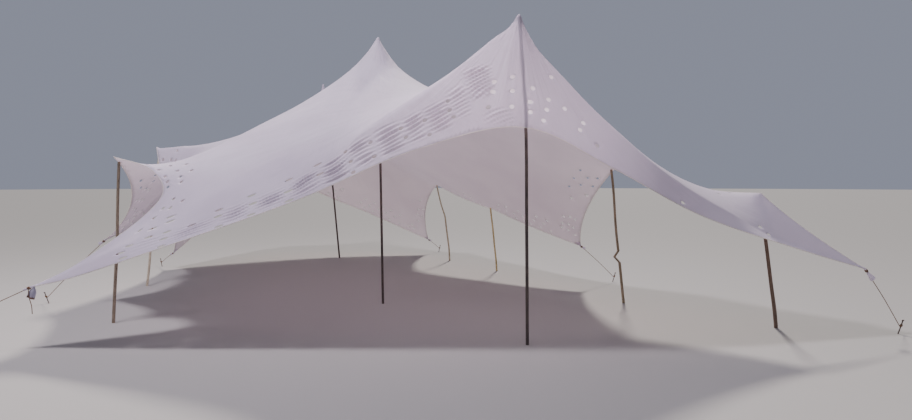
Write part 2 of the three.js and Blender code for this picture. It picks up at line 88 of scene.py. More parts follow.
# Places in metres, measured from the foot of the centre mast: x right, y rear, z up. Masts and side poles
# have their foot, top and radius, and corners their tip and the foot of their peg.
MASTS = {
    "front_mast": ((2.040, -2.830), (1.940, -2.830, 4.000), 0.020),
    "centre_mast": ((0.000, 0.000), (-0.080, 0.000, 4.300), 0.020),
    "rear_mast": ((-1.800, 6.600), (-2.220, 6.600, 4.445), 0.022),
}
SIDE_POLES = {
    "left_front_pole": ((-3.600, -1.530), (-3.520, -1.530, 2.315), 0.022),
    "left_rear_pole": ((-4.635, 1.875), (-4.390, 1.875, 2.620), 0.022),
    "rear_right_pole": ((1.020, 6.025), (0.700, 6.010, 1.880), 0.020),
    "right_rear_pole": ((2.070, 4.045), (1.935, 4.045, 1.360), 0.020),
    "right_middle_pole": ((3.895, 0.055), (3.690, 0.055, 2.190), 0.022),
    "right_front_pole": ((5.490, -1.860), (5.265, -1.860, 1.820), 0.025),
}
CORNERS = {
    "front_left": ((-3.860, -2.990, 0.725), (-5.010, -3.500)),
    "front_right": ((6.440, -2.290, 0.850), (6.900, -2.230)),
    "left": ((-4.490, 0.010, 1.025), (-5.400, 0.020)),
    "rear_left": ((-5.200, 4.510, 0.350), (-5.590, 4.830)),
    "rear_right": ((0.430, 7.710, 0.380), (0.700, 8.140)),
    "right": ((3.545, 2.010, 0.745), (4.240, 2.400)),
}
# Named places on the canopy, between the poles and corners.
CANOPY_POINTS = {
    "front_1": (-2.304, -3.060, 1.192),
    "front_2": (-0.661, -3.080, 1.770),
    "front_3": (0.695, -3.100, 2.345),
    "front_4": (1.977, -3.100, 2.610),
    "front_5": (3.045, -3.000, 2.128),
    "front_6": (4.136, -2.800, 1.571),
    "front_7": (5.505, -2.490, 1.120),
    "left_bay": (-2.720, -2.020, 1.780),
    "left_bay_upper": (-3.060, -1.600, 2.150),
    "rear_1": (-1.940, 8.210, 1.350),
    "rear_2": (-3.840, 7.610, 1.990),
    "left_ridge_1": (0.178, -2.820, 2.666),
    "left_ridge_2": (-1.410, -2.840, 1.716),
    "left_ridge_3": (-2.480, -2.760, 1.363),
    "right_ridge_1": (4.009, -2.600, 1.932),
    "right_ridge_2": (5.145, -2.420, 1.297),
}
# Ridges of the fabric, from a mast or pole outward.
LEFT_RIDGE = [
    "front_mast", (1.823, -2.830, 3.838), (1.640, -2.828, 3.717), (1.339, -2.826, 3.482),
    (1.045, -2.824, 3.252), (0.803, -2.822, 3.095), (0.500, -2.820, 2.878), "left_ridge_1",
    (-0.021, -2.820, 2.527), (-0.226, -2.820, 2.297), (-0.528, -2.825, 2.103), (-0.823, -2.830, 1.958),
    "left_ridge_2", "left_ridge_3", "front_left",
]
RIGHT_RIDGE = [
    "front_mast", (2.000, -2.826, 3.863), (2.061, -2.823, 3.712), (2.166, -2.818, 3.568),
    (2.299, -2.810, 3.424), (2.550, -2.790, 3.172), (2.833, -2.760, 2.884), (3.186, -2.720, 2.570),
    (3.567, -2.670, 2.246), "right_ridge_1", (4.561, -2.520, 1.612), "right_ridge_2", "front_right",
]
REAR_LEFT_RIDGE = [
    "left_rear_pole", (-3.442, 1.462, 2.670), (-2.623, 1.106, 2.790), (-2.106, 0.881, 2.980),
    (-1.588, 0.656, 3.180), (-0.813, 0.319, 3.550), (-0.425, 0.150, 3.870), "centre_mast",
]
FRONT_EDGE = [
    "front_left", "front_1", "front_2", "front_3", "front_4", "front_5", "front_6", "front_7", "front_right",
]
# Smooth lines on the canopy through named and other places.
CANOPY_RUNS = [
    ["front_left", (-3.440, -3.005, 0.818)] + FRONT_EDGE[1:],
    ["left_front_pole", "left_bay_upper", "left_bay", (-3.470, -2.700, 0.965), "front_left"],
    ["left_rear_pole", (-4.197, 1.450, 1.920), (-4.120, 0.950, 1.430), (-4.184, 0.582, 1.235),
     (-4.326, 0.257, 1.130), "left"],
    ["rear_right", "rear_1", "rear_2", "rear_left"],
    LEFT_RIDGE,
    RIGHT_RIDGE,
    REAR_LEFT_RIDGE,
]
# Edges between two points, with the place each hangs to at its middle.
EDGE_BAYS = {
    ("front_right", "right_front_pole"): (5.735, -2.120, 1.365),
    ("right_front_pole", "right_middle_pole"): (4.550, -0.950, 1.900),
    ("right_middle_pole", "right"): (3.490, 1.100, 1.460),
    ("right", "right_rear_pole"): (2.700, 3.000, 1.050),
    ("right_rear_pole", "rear_right_pole"): (1.300, 5.000, 1.590),
    ("rear_right_pole", "rear_right"): (0.400, 6.720, 1.250),
    ("rear_left", "left_rear_pole"): (-4.600, 3.100, 1.400),
    ("left", "left_front_pole"): (-3.620, -0.940, 1.700),
}
# Lines from a mast along which the fabric is pulled tightest, and how tightly.
STRESS_LINES = {
    ("front_mast", "centre_mast"): 1,
    ("centre_mast", "left_front_pole"): 1.5,
    ("centre_mast", "right_middle_pole"): 1,
    ("rear_mast", "centre_mast"): 3,
    ("rear_mast", "left_rear_pole"): 3,
    ("rear_mast", "right_rear_pole"): 3,
    ("rear_mast", "rear_right_pole"): 3,
    ("rear_mast", "rear_right"): 2,
    ("rear_mast", "rear_1"): 3,
    ("rear_mast", "rear_2"): 3,
    ("rear_mast", "rear_left"): 2,
}
# The net's triangles, each between three named points.
TRIANGLES = [
    "front_left front_1 left_ridge_3", "front_left left_ridge_3 left_bay",
    "front_1 left_ridge_2 left_ridge_3", "front_1 front_2 left_ridge_2",
    "front_2 left_ridge_1 left_ridge_2", "front_2 front_3 left_ridge_1",
    "front_3 front_mast left_ridge_1", "front_3 front_4 front_mast", "front_4 front_5 front_mast",
    "front_5 right_ridge_1 front_mast", "front_5 front_6 right_ridge_1",
    "front_6 right_ridge_2 right_ridge_1", "front_6 front_7 right_ridge_2",
    "front_7 front_right right_ridge_2", "right_ridge_2 front_right right_front_pole",
    "left_ridge_3 left_ridge_2 left_bay", "left_bay left_ridge_2 left_bay_upper",
    "left_bay_upper left_ridge_2 centre_mast", "left_bay_upper centre_mast left_front_pole",
    "left_ridge_2 left_ridge_1 centre_mast", "left_ridge_1 front_mast centre_mast",
    "right_ridge_1 right_ridge_2 right_front_pole", "right_ridge_1 right_front_pole right_middle_pole",
    "front_mast right_ridge_1 right_middle_pole", "front_mast right_middle_pole centre_mast",
    "centre_mast right_middle_pole right", "centre_mast right right_rear_pole",
    "centre_mast right_rear_pole rear_mast", "rear_mast right_rear_pole rear_right_pole",
    "rear_mast rear_right_pole rear_right", "rear_mast rear_right rear_1", "rear_mast rear_1 rear_2",
    "rear_mast rear_2 rear_left", "rear_mast rear_left left_rear_pole",
    "centre_mast rear_mast left_rear_pole", "centre_mast left_rear_pole left",
    "centre_mast left left_front_pole",
]
# The named places round the edge, from the front left tip.
PERIMETER = FRONT_EDGE + [
    "right_front_pole", "right_middle_pole", "right", "right_rear_pole", "rear_right_pole", "rear_right",
    "rear_1", "rear_2", "rear_left", "left_rear_pole", "left", "left_front_pole", "left_bay_upper",
    "left_bay", "front_left",
]
# Round a mast's head the fabric is a cone: its reach, how it curves, and how far out the fabric is held.
PEAK_REACH = 0.42
PEAK_CURVE = 0.80
PEAK_HELD = 0.5
# Where the left slope sags: the middle of the sag, its reach each way, and its depth.
SAG = ((-1.400, -0.350), (0.80, 0.70), 0.050)
# The front ridge, side by side from the left.
RIDGE_SIDES = [
    ("front_left", "left_ridge_3"), ("left_ridge_3", "left_ridge_2"), ("left_ridge_2", "left_ridge_1"),
    ("left_ridge_1", "front_mast"), ("front_mast", "right_ridge_1"), ("right_ridge_1", "right_ridge_2"),
    ("right_ridge_2", "front_right"),
]
# The ropes' radius, and the length in which their strands turn once.
ROPE_RADIUS = 0.005
ROPE_LAY = 0.036
# The pegs' radius, how far they lean over their height, their height and the height of the tie on them.
PEG_RADIUS = 0.008
PEG_LEAN, PEG_HEIGHT, PEG_TIE = 0.070, 0.170, 0.110
# A peg's head: its height, and its width as a share of the bar's.
PEG_HEAD = 0.012
PEG_HEAD_SHARE = 2.05
# A gathered corner: how far before the tip it starts, how far past it the neck reaches, where the lashing
# lies on the neck, the radius that the lashing goes round, and the corner's sides and pleats.
GATHER_START = 0.10
NECK_REACH = 0.045
NECK = (0.010, 0.046)
NECK_RADIUS = 0.0125
GATHER_SIDES = 36
PLEATS = 9
# The lashing's thickness as a share of the rope's, and where on the neck the rope's free end leaves it.
LASHING_SHARE = 0.8
ROPE_END_LEAVES = 0.034
# How far past the tip each corner's gathered end reaches, how wide its ruffled end is, and how far it
# stands out from the line of the rope.
GATHERED_ENDS = {
    "front_left": (0.085, 0.018, 0.70), "front_right": (0.170, 0.046, 0.15), "left": (0.110, 0.034, 0.70),
    "rear_left": (0.105, 0.034, 0.70), "rear_right": (0.105, 0.034, 0.70), "right": (0.110, 0.034, 0.70),
}
# The folded flap that hangs at the front left tip, from the tip down.
FOLDED_FLAP = [(0.034, 0, 0.004), (0.028, 0, -0.030), (0.012, -0.004, -0.080), (-0.008, -0.006, -0.135)]
# The free end of the front left rope, from the lashing down.
ROPE_END_ROUTE = [
    (0, 0, -0.022), (0.012, -0.004, -0.106), (0.046, -0.012, -0.206), (0.056, -0.015, -0.301),
]
# How far the front mast stands off its straight line, to the right, at some shares of its height.
MAST_BOWS = {"front_mast": {0.22: 0.018, 0.40: 0.031, 0.55: 0.045, 0.65: 0.049, 0.82: 0.024}}
# Timber poles: colour, and how far the pole stands off its straight line, to the right, at some shares of
# its height. A colour is the wood's with painted light: the left rear, rear right and right rear poles are
# pale with painted sunlight, the right rear one yellowish, and the others dark with painted shade.
TIMBER = {
    "left_front_pole": ("#9c8c7a", {0.5: 0.010}), "left_rear_pole": ("#d3c6ae", {0.5: -0.008}),
    "rear_right_pole": ("#d2c3a6", {0.15: 0.030, 0.58: 0.075, 0.73: 0.028, 0.88: 0.010}),
    "right_rear_pole": ("#d8c48f", {0.5: 0.010}), "right_middle_pole": ("#95866f", {0.5: -0.008}),
    "right_front_pole": ("#7d685b", {0.4: 0.010}),
}
# How far under its peak a mast's tube ends.
MAST_UNDER_PEAK = 0.032
# How much a timber pole waves, in metres, and how much it swells, as a share.
POLE_WAVE = 0.004
POLE_SWELL = 0.03
# A fine wrinkle's length from crest to crest.
WRINKLE_LENGTH = 0.057
# How far the fabric reaches out past a side pole's head, and the hem's radius.
HEM_OVERHANGS = {"right_front_pole": 0.020}
HEM_OVERHANG = 0.070
HEM_RADIUS = 0.005
TENT_MIDDLE_Y = 1.300
# The net's divisions along a triangle's side, how much they crowd towards a mast, how much harder the
# fabric is pulled near a mast, the height from which it starts, and the most rounds of one balance.
NET_DIVISIONS = 24
NET_GRADING = 1.4
MAST_CONE = 4.5
MAST_TIP = 0.06
START_HEIGHT = 1.9
BALANCE_ROUNDS = 1500
# Longest sides of the canopy's mesh: on the broad fabric, in front, in the border with the holes, at a
# mast's tip with its growth for each metre from there, and in deep and in shallow wrinkles.
GRAIN_BROAD = 0.30
FRONT_BEGINS_Y = -1.6
GRAIN_FRONT = 0.12
HOLED_BORDER = 0.62
GRAIN_BORDER = 0.098
GRAIN_TIP = 0.014
GRAIN_TIP_GROWTH = 0.30
DEEP_WRINKLES_MM = 4.5
GRAIN_DEEP_WRINKLES = 0.0172
GRAIN_SHALLOW_WRINKLES = 0.022
# A tube's measure round it, for the grain of its cloth.
TUBE_GIRTH = 0.10
# Two vertex numbers make one key: the lower times KEY, plus the higher.
KEY = 1 << 24
# A hole's sides, how far round it the fabric is looked at, the width of the small triangles round it as a
# share of the hole's, and how far it may slip inward when it can't be cut.
HOLE_SIDES = 18
HOLE_REACH = 0.22
HOLE_MARGIN = 1.25
HOLE_SLIPS = (0, 0.015, 0.03, -0.015, 0.045)
# Punched holes: how far along the edge from the front left tip, and how far in each of them lies.
HOLES = {
    1.07: (0.16,), 1.15: (0.05,), 1.18: (0.25,), 1.43: (0.30, 0.47), 1.66: (0.035, 0.16, 0.28, 0.49, 0.59),
    1.98: (0.24,), 2.35: (0.035, 0.23, 0.35), 2.77: (0.04, 0.23, 0.39), 3.25: (0.035, 0.20, 0.41),
    3.68: (0.26, 0.45), 4.07: (0.04, 0.21, 0.40), 4.37: (0.12, 0.33), 4.78: (0.20, 0.34),
    5.05: (0.13, 0.33), 5.38: (0.25, 0.35, 0.47), 5.78: (0.26,), 5.86: (0.44, 0.56),
    6.03: (0.24, 0.43, 0.60), 6.20: (0.19, 0.31, 0.48), 6.35: (0.13, 0.27, 0.40, 0.70), 6.53: (0.38,),
    6.80: (0.23, 0.34), 7.06: (0.17,), 8.33: (0.06,), 9.60: (0.26,), 9.69: (0.17,),
    16.34: (0.33,), 16.86: (0.15,), 16.92: (0.26,), 16.97: (0.39,), 17.15: (0.16, 0.27), 17.24: (0.41,),
    17.34: (0.11, 0.27), 17.93: (0.38,),
    23.51: (0.21,), 23.78: (0.08,), 23.89: (0.23,), 24.10: (0.13, 0.27), 24.36: (0.25,), 25.45: (0.18,),
    25.52: (0.29,), 25.60: (0.17,),
    40.43: (0.15, 0.37), 40.66: (0.26,), 40.89: (0.15, 0.37), 41.02: (0.26,), 41.17: (0.15, 0.37),
    41.35: (0.26,), 41.46: (0.15, 0.37), 41.64: (0.15, 0.37),
    42.66: (0.07,), 42.77: (0.41,), 42.86: (0.07, 0.25), 42.96: (0.41,), 43.07: (0.07, 0.25),
    43.17: (0.41,), 43.20: (0.07, 0.25), 43.32: (0.07, 0.26), 43.54: (0.29, 0.50), 43.66: (0.26, 0.40),
    43.83: (0.30,), 44.00: (0.34,),
}
# A hole's length along the edge and its width, by the distance along the edge at which the size begins.
# Holes are slits where the front edge is pulled hardest.
HOLE_SIZES = [(0, 0.115, 0.035), (3.90, 0.058, 0.044), (5.70, 0.062, 0.050), (7.00, 0.056, 0.044)]
# The other stretches of the edge, with holes in three rows: first and last distance along, step.
HOLE_STRETCHES = [
    (13.0, 14.8, 0.30), (15.5, 16.1, 0.28), (18.3, 20.0, 0.27), (20.6, 22.4, 0.28), (25.9, 27.2, 0.28),
    (27.8, 29.6, 0.32), (30.0, 33.2, 0.32), (34.0, 36.8, 0.30), (37.5, 39.4, 0.26), (39.95, 40.3, 0.21),
]
STRETCH_INSETS = [0.11, 0.27, 0.43]
# The fine wrinkles run between neighbouring columns of holes along the front edge. Each cell is: its first
# and last distance along the edge, the wrinkles' height in mm, how steeply they climb from the edge, and
# how far in they begin and end.
WRINKLE_CELLS = [
    (1.20, 1.72, 3.5, 0.06, 0.03, 0.30), (1.66, 2.36, 5.0, 0.08, 0.03, 0.30),
    (2.34, 2.80, 6.0, 0.10, 0.03, 0.36), (2.77, 3.25, 7.5, 0.10, 0.03, 0.38),
    (3.22, 3.70, 10.0, 0.12, 0.04, 0.42), (3.66, 4.08, 13.0, 0.12, 0.04, 0.46),
    (4.06, 4.43, 13.0, 0.12, 0.05, 0.48), (4.42, 4.80, 13.0, 0.13, 0.06, 0.50),
    (4.77, 5.07, 12.0, 0.15, 0.09, 0.52), (5.05, 5.40, 11.0, 0.20, 0.12, 0.54),
    (5.36, 5.62, 8.0, 0.35, 0.20, 0.66), (5.58, 5.90, 13.0, 0.50, 0.38, 0.84),
    (5.70, 6.08, 11.0, 0.35, 0.04, 0.28),
]


def mast_foot():
    """The centre mast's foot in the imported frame."""
    points = [v.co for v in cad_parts["centre_mast"].data.vertices if v.co.z < 1e-4]
    return np.array([sum(p.x for p in points), sum(p.y for p in points), 0.0]) / max(len(points), 1)


ORIGIN = mast_foot()


def linear(hex_colour):
    """An sRGB hex colour as linear RGBA."""
    parts = [int(hex_colour[i:i + 2], 16) / 255 for i in (1, 3, 5)]
    return [c / 12.92 if c <= 0.04045 else ((c + 0.055) / 1.055) ** 2.4 for c in parts] + [1.0]


def add_node(tree, kind, sockets=None, stops=None, **settings):
    """Adds one shader node with its settings. A socket's value may be another node's output, which is
    linked to it; stops are the places and colours of a ramp."""
    made = tree.nodes.new(kind)
    for name, value in settings.items():
        setattr(made, name, value)
    for name, value in (sockets or {}).items():
        socket = made.inputs[name]
        if isinstance(value, bpy.types.NodeSocket):
            tree.links.new(value, socket)
        else:
            socket.default_value = value
    for i, (place, colour) in enumerate(stops or []):
        ramp = made.color_ramp.elements
        element = ramp[i] if i < len(ramp) else ramp.new(place)
        element.position = place
        element.color = colour
    return made


def new_material(name):
    material = bpy.data.materials.new(name)
    material.use_nodes = True
    material.node_tree.nodes.clear()
    return material, material.node_tree


def toned(hex_colour, *shares):
    """An sRGB hex colour as linear RGBA, with its red, green and blue scaled."""
    return [min(part * share, 1) for part, share in zip(linear(hex_colour), shares)] + [1]


def stretch_fabric(name, colour):
    """Polyester stretch knit, coated: matt with a faint sheen, and lit through softly from behind. Folds
    run out from the mast tops and fade right at the tips. The knit is 1 mm to a loop and is drawn at 9 mm,
    or it would not show."""
    material, tree = new_material(name)
    place = add_node(tree, "ShaderNodeTexCoord").outputs["Object"]
    height = None
    for _, top, _ in MASTS.values():
        arm = add_node(tree, "ShaderNodeVectorMath", {
            0: place, 1: tuple(np.array(top) + ORIGIN)}, operation="SUBTRACT")
        away = add_node(tree, "ShaderNodeVectorMath", {0: arm.outputs[0]}, operation="NORMALIZE")
        folds = add_node(tree, "ShaderNodeTexNoise", {
            "Vector": away.outputs[0], "Scale": 16.0, "Detail": 3.0, "Roughness": 0.5})
        reach = add_node(tree, "ShaderNodeVectorMath", {0: arm.outputs[0]}, operation="LENGTH")
        fade = add_node(tree, "ShaderNodeMapRange", {
            "Value": reach.outputs["Value"], "From Min": FOLDS_END[0], "From Max": FOLDS_END[1],
            "To Min": 1.0, "To Max": 0.0})
        tip = add_node(tree, "ShaderNodeMapRange", {
            "Value": reach.outputs["Value"], "From Min": FOLDS_BEGIN[0], "From Max": FOLDS_BEGIN[1],
            "To Min": 0.0, "To Max": 1.0})
        shown = add_node(tree, "ShaderNodeMath", {
            0: tip.outputs[0], 1: fade.outputs[0]}, operation="MULTIPLY")
        part = add_node(tree, "ShaderNodeMath", {
            0: folds.outputs[0], 1: shown.outputs[0]}, operation="MULTIPLY")
        height = part.outputs[0] if height is None else add_node(tree, "ShaderNodeMath", {
            0: height, 1: part.outputs[0]}, operation="ADD").outputs[0]
    cloth = add_node(tree, "ShaderNodeUVMap", uv_map="cloth").outputs[0]
    knit = add_node(tree, "ShaderNodeTexVoronoi", {"Vector": cloth, "Scale": KNIT_SCALE})
    folded = add_node(tree, "ShaderNodeBump", {"Height": height, "Strength": 0.6, "Distance": 0.04})
    bump = add_node(tree, "ShaderNodeBump", {
        "Height": knit.outputs["Distance"], "Strength": 0.12, "Distance": 0.001,
        "Normal": folded.outputs[0]})
    patches = add_node(tree, "ShaderNodeTexNoise", {"Vector": place, "Scale": 1.3, "Detail": 5.0})
    tint = add_node(tree, "ShaderNodeValToRGB", {0: patches.outputs[0]}, [
        (0.35, toned(colour, 0.90, 0.88, 0.90)), (0.65, linear(colour))])
    shader = add_node(tree, "ShaderNodeBsdfPrincipled", {
        "Base Color": tint.outputs[0], "Roughness": 0.72, "Sheen Weight": 0.2, "Normal": bump.outputs[0]})
    through = add_node(tree, "ShaderNodeBsdfTranslucent", {
        "Color": linear("#f4ecf3"), "Normal": bump.outputs[0]})
    mix = add_node(tree, "ShaderNodeMixShader", {0: 0.45, 1: shader.outputs[0], 2: through.outputs[0]})
    add_node(tree, "ShaderNodeOutputMaterial", {"Surface": mix.outputs[0]})
    return material


def folded_layers():
    """The same knit folded into several layers. Its grey is painted shade, as no light comes through it, and
    its lowest end turns dark brown."""
    material, tree = new_material("stretch_knit_folded_layers_painted_shade")
    cloth = add_node(tree, "ShaderNodeUVMap", uv_map="cloth").outputs[0]
    down = add_node(tree, "ShaderNodeSeparateXYZ", {0: cloth}).outputs["Y"]
    # Grey-lavender is painted shade of the folded layers; then dark brown at the lowest end.
    colour = add_node(tree, "ShaderNodeValToRGB", {0: down}, [
        (0.115, linear("#b3adc0")), (0.137, linear("#7a5236"))])
    knit = add_node(tree, "ShaderNodeTexVoronoi", {"Vector": cloth, "Scale": KNIT_SCALE})
    bump = add_node(tree, "ShaderNodeBump", {
        "Height": knit.outputs["Distance"], "Strength": 0.2, "Distance": 0.001})
    shader = add_node(tree, "ShaderNodeBsdfPrincipled", {
        "Base Color": colour.outputs[0], "Roughness": 0.8, "Sheen Weight": 0.2, "Normal": bump.outputs[0]})
    add_node(tree, "ShaderNodeOutputMaterial", {"Surface": shader.outputs[0]})
    return material


def hem_fabric():
    """The same stretch knit rolled and sewn, with a row of 4 mm stitches drawn at 16 mm. Its near-white is
    the knit's own white made paler, a painted highlight along the rim.
    """
    material, tree = new_material("stretch_knit_rolled_hem_painted_highlight")
    place = add_node(tree, "ShaderNodeTexCoord").outputs["Object"]
    stitches = add_node(tree, "ShaderNodeTexVoronoi", {"Vector": place, "Scale": 62.0})
    soil = add_node(tree, "ShaderNodeTexNoise", {"Vector": place, "Scale": 4.0, "Detail": 6.0})
    # Near-white: the knit's white raised to a painted highlight along the hem, with soiled patches.
    colour = add_node(tree, "ShaderNodeValToRGB", {0: soil.outputs[0]}, [
        (0.35, linear("#f1ece6")), (0.65, linear("#fffdf8"))])
    bump = add_node(tree, "ShaderNodeBump", {
        "Height": stitches.outputs["Distance"], "Strength": 0.4, "Distance": 0.001})
    shader = add_node(tree, "ShaderNodeBsdfPrincipled", {
        "Base Color": colour.outputs[0], "Roughness": 0.8, "Sheen Weight": 0.2, "Normal": bump.outputs[0]})
    through = add_node(tree, "ShaderNodeBsdfTranslucent", {
        "Color": linear("#fdf6f0"), "Normal": bump.outputs[0]})
    mix = add_node(tree, "ShaderNodeMixShader", {0: 0.5, 1: shader.outputs[0], 2: through.outputs[0]})
    add_node(tree, "ShaderNodeOutputMaterial", {"Surface": mix.outputs[0]})
    return material


def painted_steel():
    """Steel tube with dark brown paint: satin, a little uneven, dulled in patches by handling."""
    material, tree = new_material("steel_tube_painted_dark_brown")
    place = add_node(tree, "ShaderNodeTexCoord").outputs["Object"]
    patches = add_node(tree, "ShaderNodeTexNoise", {"Vector": place, "Scale": 7.0, "Detail": 6.0})
    paint = add_node(tree, "ShaderNodeValToRGB", {0: patches.outputs[0]}, [
        (0.35, linear("#463b39")), (0.70, linear("#65574f"))])
    dull = add_node(tree, "ShaderNodeMapRange", {
        "Value": patches.outputs[0], "From Min": 0.3, "From Max": 0.7, "To Min": 0.38, "To Max": 0.60})
    peel = add_node(tree, "ShaderNodeTexNoise", {"Vector": place, "Scale": 260.0, "Detail": 2.0})
    bump = add_node(tree, "ShaderNodeBump", {"Height": peel.outputs[0], "Strength": 0.15, "Distance": 0.001})
    shader = add_node(tree, "ShaderNodeBsdfPrincipled", {
        "Base Color": paint.outputs[0], "Roughness": dull.outputs[0], "Normal": bump.outputs[0]})
    add_node(tree, "ShaderNodeOutputMaterial", {"Surface": shader.outputs[0]})
    return material


def peeled_timber(name, colour):
    """Peeled gum pole: long grain of 6 mm streaks, dark drying cracks and a dull, dry surface."""
    material, tree = new_material(name)
    place = add_node(tree, "ShaderNodeTexCoord").outputs["Object"]
    stretched = add_node(tree, "ShaderNodeMapping", {"Vector": place, "Scale": (1, 1, 0.06)}).outputs[0]
    grain = add_node(tree, "ShaderNodeTexNoise", {
        "Vector": stretched, "Scale": 160.0, "Detail": 5.0, "Roughness": 0.6})
    wood = add_node(tree, "ShaderNodeValToRGB", {0: grain.outputs[0]}, [
        (0.30, toned(colour, 0.55, 0.52, 0.48)), (0.50, linear(colour)),
        (0.75, toned(colour, 1.25, 1.22, 1.15))])
    cracks = add_node(tree, "ShaderNodeTexVoronoi", {
        "Vector": stretched, "Scale": 60.0}, feature="DISTANCE_TO_EDGE")
    uncracked = add_node(tree, "ShaderNodeMapRange", {
        "Value": cracks.outputs["Distance"], "From Min": 0.0, "From Max": 0.05})
    shade = add_node(tree, "ShaderNodeMix", {
        0: uncracked.outputs[0], 6: toned(colour, 0.35, 0.30, 0.25), 7: wood.outputs[0]}, data_type="RGBA")
    bump = add_node(tree, "ShaderNodeBump", {
        "Height": grain.outputs[0], "Strength": 0.5, "Distance": 0.002})
    shader = add_node(tree, "ShaderNodeBsdfPrincipled", {
        "Base Color": shade.outputs[2], "Roughness": 0.85, "Normal": bump.outputs[0]})
    add_node(tree, "ShaderNodeOutputMaterial", {"Surface": shader.outputs[0]})
    return material


def laid_rope_fibre():
    """Laid sisal rope: dry, hairy brown fibre, darker between the strands."""
    material, tree = new_material("sisal_rope_three_strand")
    place = add_node(tree, "ShaderNodeTexCoord").outputs["Object"]
    hairs = add_node(tree, "ShaderNodeTexNoise", {"Vector": place, "Scale": 420.0, "Detail": 4.0})
    fibre = add_node(tree, "ShaderNodeValToRGB", {0: hairs.outputs[0]}, [
        (0.30, linear("#553a27")), (0.70, linear("#94704d"))])
    bump = add_node(tree, "ShaderNodeBump", {"Height": hairs.outputs[0], "Strength": 0.6, "Distance": 0.001})
    shader = add_node(tree, "ShaderNodeBsdfPrincipled", {
        "Base Color": fibre.outputs[0], "Roughness": 0.95, "Normal": bump.outputs[0]})
    add_node(tree, "ShaderNodeOutputMaterial", {"Surface": shader.outputs[0]})
    return material


def forged_peg_steel():
    """Forged steel bar, weathered: dull grey with brown rust in the pits."""
    material, tree = new_material("forged_steel_weathered")
    place = add_node(tree, "ShaderNodeTexCoord").outputs["Object"]
    pits = add_node(tree, "ShaderNodeTexNoise", {"Vector": place, "Scale": 90.0, "Detail": 6.0})
    colour = add_node(tree, "ShaderNodeValToRGB", {0: pits.outputs[0]}, [
        (0.40, linear("#5a3d2c")), (0.58, linear("#77756f"))])
    bump = add_node(tree, "ShaderNodeBump", {"Height": pits.outputs[0], "Strength": 0.4, "Distance": 0.001})
    shader = add_node(tree, "ShaderNodeBsdfPrincipled", {
        "Base Color": colour.outputs[0], "Metallic": 0.8, "Roughness": 0.55, "Normal": bump.outputs[0]})
    add_node(tree, "ShaderNodeOutputMaterial", {"Surface": shader.outputs[0]})
    return material


def shared(name, make):
    """A material that several pieces share, made the first time that it is asked for."""
    return bpy.data.materials.get(name) or make()


def catmull_rom(places, i, t):
    """The centripetal curve through the places, between places i and i + 1."""
    p1, p2 = places[i], places[i + 1]
    p0 = places[i - 1] if i > 0 else 2 * p1 - p2
    p3 = places[i + 2] if i + 2 < len(places) else 2 * p2 - p1
    d0, d1, d2 = (max(((b - a) ** 2).sum() ** 0.25, 1e-4) for a, b in ((p0, p1), (p1, p2), (p2, p3)))
    t1 = ((p1 - p0) / d0 - (p2 - p0) / (d0 + d1) + (p2 - p1) / d1) * d1
    t2 = ((p2 - p1) / d1 - (p3 - p1) / (d1 + d2) + (p3 - p2) / d2) * d1
    t = np.asarray(t, float)[..., None]
    return p1 + t1 * t + (3 * (p2 - p1) - 2 * t1 - t2) * t ** 2 + (2 * (p1 - p2) + t1 + t2) * t ** 3


def bow_at(bows, share):
    """How far a pole stands off its straight line at a share of its height."""
    stops = sorted({0: 0, 1: 0, **bows}.items())
    return float(np.interp(share, *zip(*stops)))


def unit(vector):
    return vector / np.linalg.norm(vector)


def steps_of(places):
    """The distances from each place of a line to the next."""
    return np.linalg.norm(np.diff(places, axis=0), axis=1)


def distances(places):
    """How far along the line each of its places lies."""
    return np.r_[0, np.cumsum(steps_of(places))]


def place_at(far, along, places):
    """The place on a line at a distance along it. along is the distance of each of the line's places."""
    return np.stack([np.interp(far, along, places[:, k]) for k in range(3)], -1)


def evenly(places):
    """A function of a share from 0 to 1 that runs along the places at an even pace."""
    far = distances(places)
    share = far / far[-1]
    return lambda t: place_at(t, share, places)


def named_points():
    points = {name: np.array(top) for name, (_, top, _) in MASTS.items()}
    for name, (foot, top, _) in SIDE_POLES.items():
        out = np.array([foot[0], foot[1] - TENT_MIDDLE_Y, 0.0])
        points[name] = np.array(top) + HEM_OVERHANGS.get(name, HEM_OVERHANG) * out / np.linalg.norm(out)
    points.update({name: np.array(tip) for name, (tip, _) in CORNERS.items()})
    points.update({name: np.array(place) for name, place in CANOPY_POINTS.items()})
    return points


def canopy_curves(points):
    curves = {}

    def add(a, b, places):
        curve = evenly(places)
        curves[a, b] = curve
        curves[b, a] = lambda t: curve(1 - np.asarray(t, float))

    for run in CANOPY_RUNS:
        places = [points[stop] if isinstance(stop, str) else np.array(stop) for stop in run]
        named = [i for i, stop in enumerate(run) if isinstance(stop, str)]
        for start, end in zip(named, named[1:]):
            parts = [catmull_rom(places, i, np.linspace(0, 1, 30)) for i in range(start, end)]
            add(run[start], run[end], np.concatenate(parts))
    for (a, b), middle in EDGE_BAYS.items():
        t = np.linspace(0, 1, 60)[:, None]
        control = 2 * np.array(middle) - 0.5 * points[a] - 0.5 * points[b]
        add(a, b, (1 - t) ** 2 * points[a] + 2 * t * (1 - t) * control + t ** 2 * points[b])
    return curves


def grade_shares(names, shares):
    """Shares of a triangle's corners, drawn towards the masts among them."""
    graded = shares.copy()
    for k in sorted((k for k in range(3) if names[k] in MASTS), key=lambda k: names[k]):
        rest = 1 - graded[:, k]
        scale = np.where(rest > 0, np.maximum(rest, 1e-12) ** (NET_GRADING - 1), 1)
        graded *= scale[:, None]
        graded[:, k] = 1 - rest * scale
    return graded


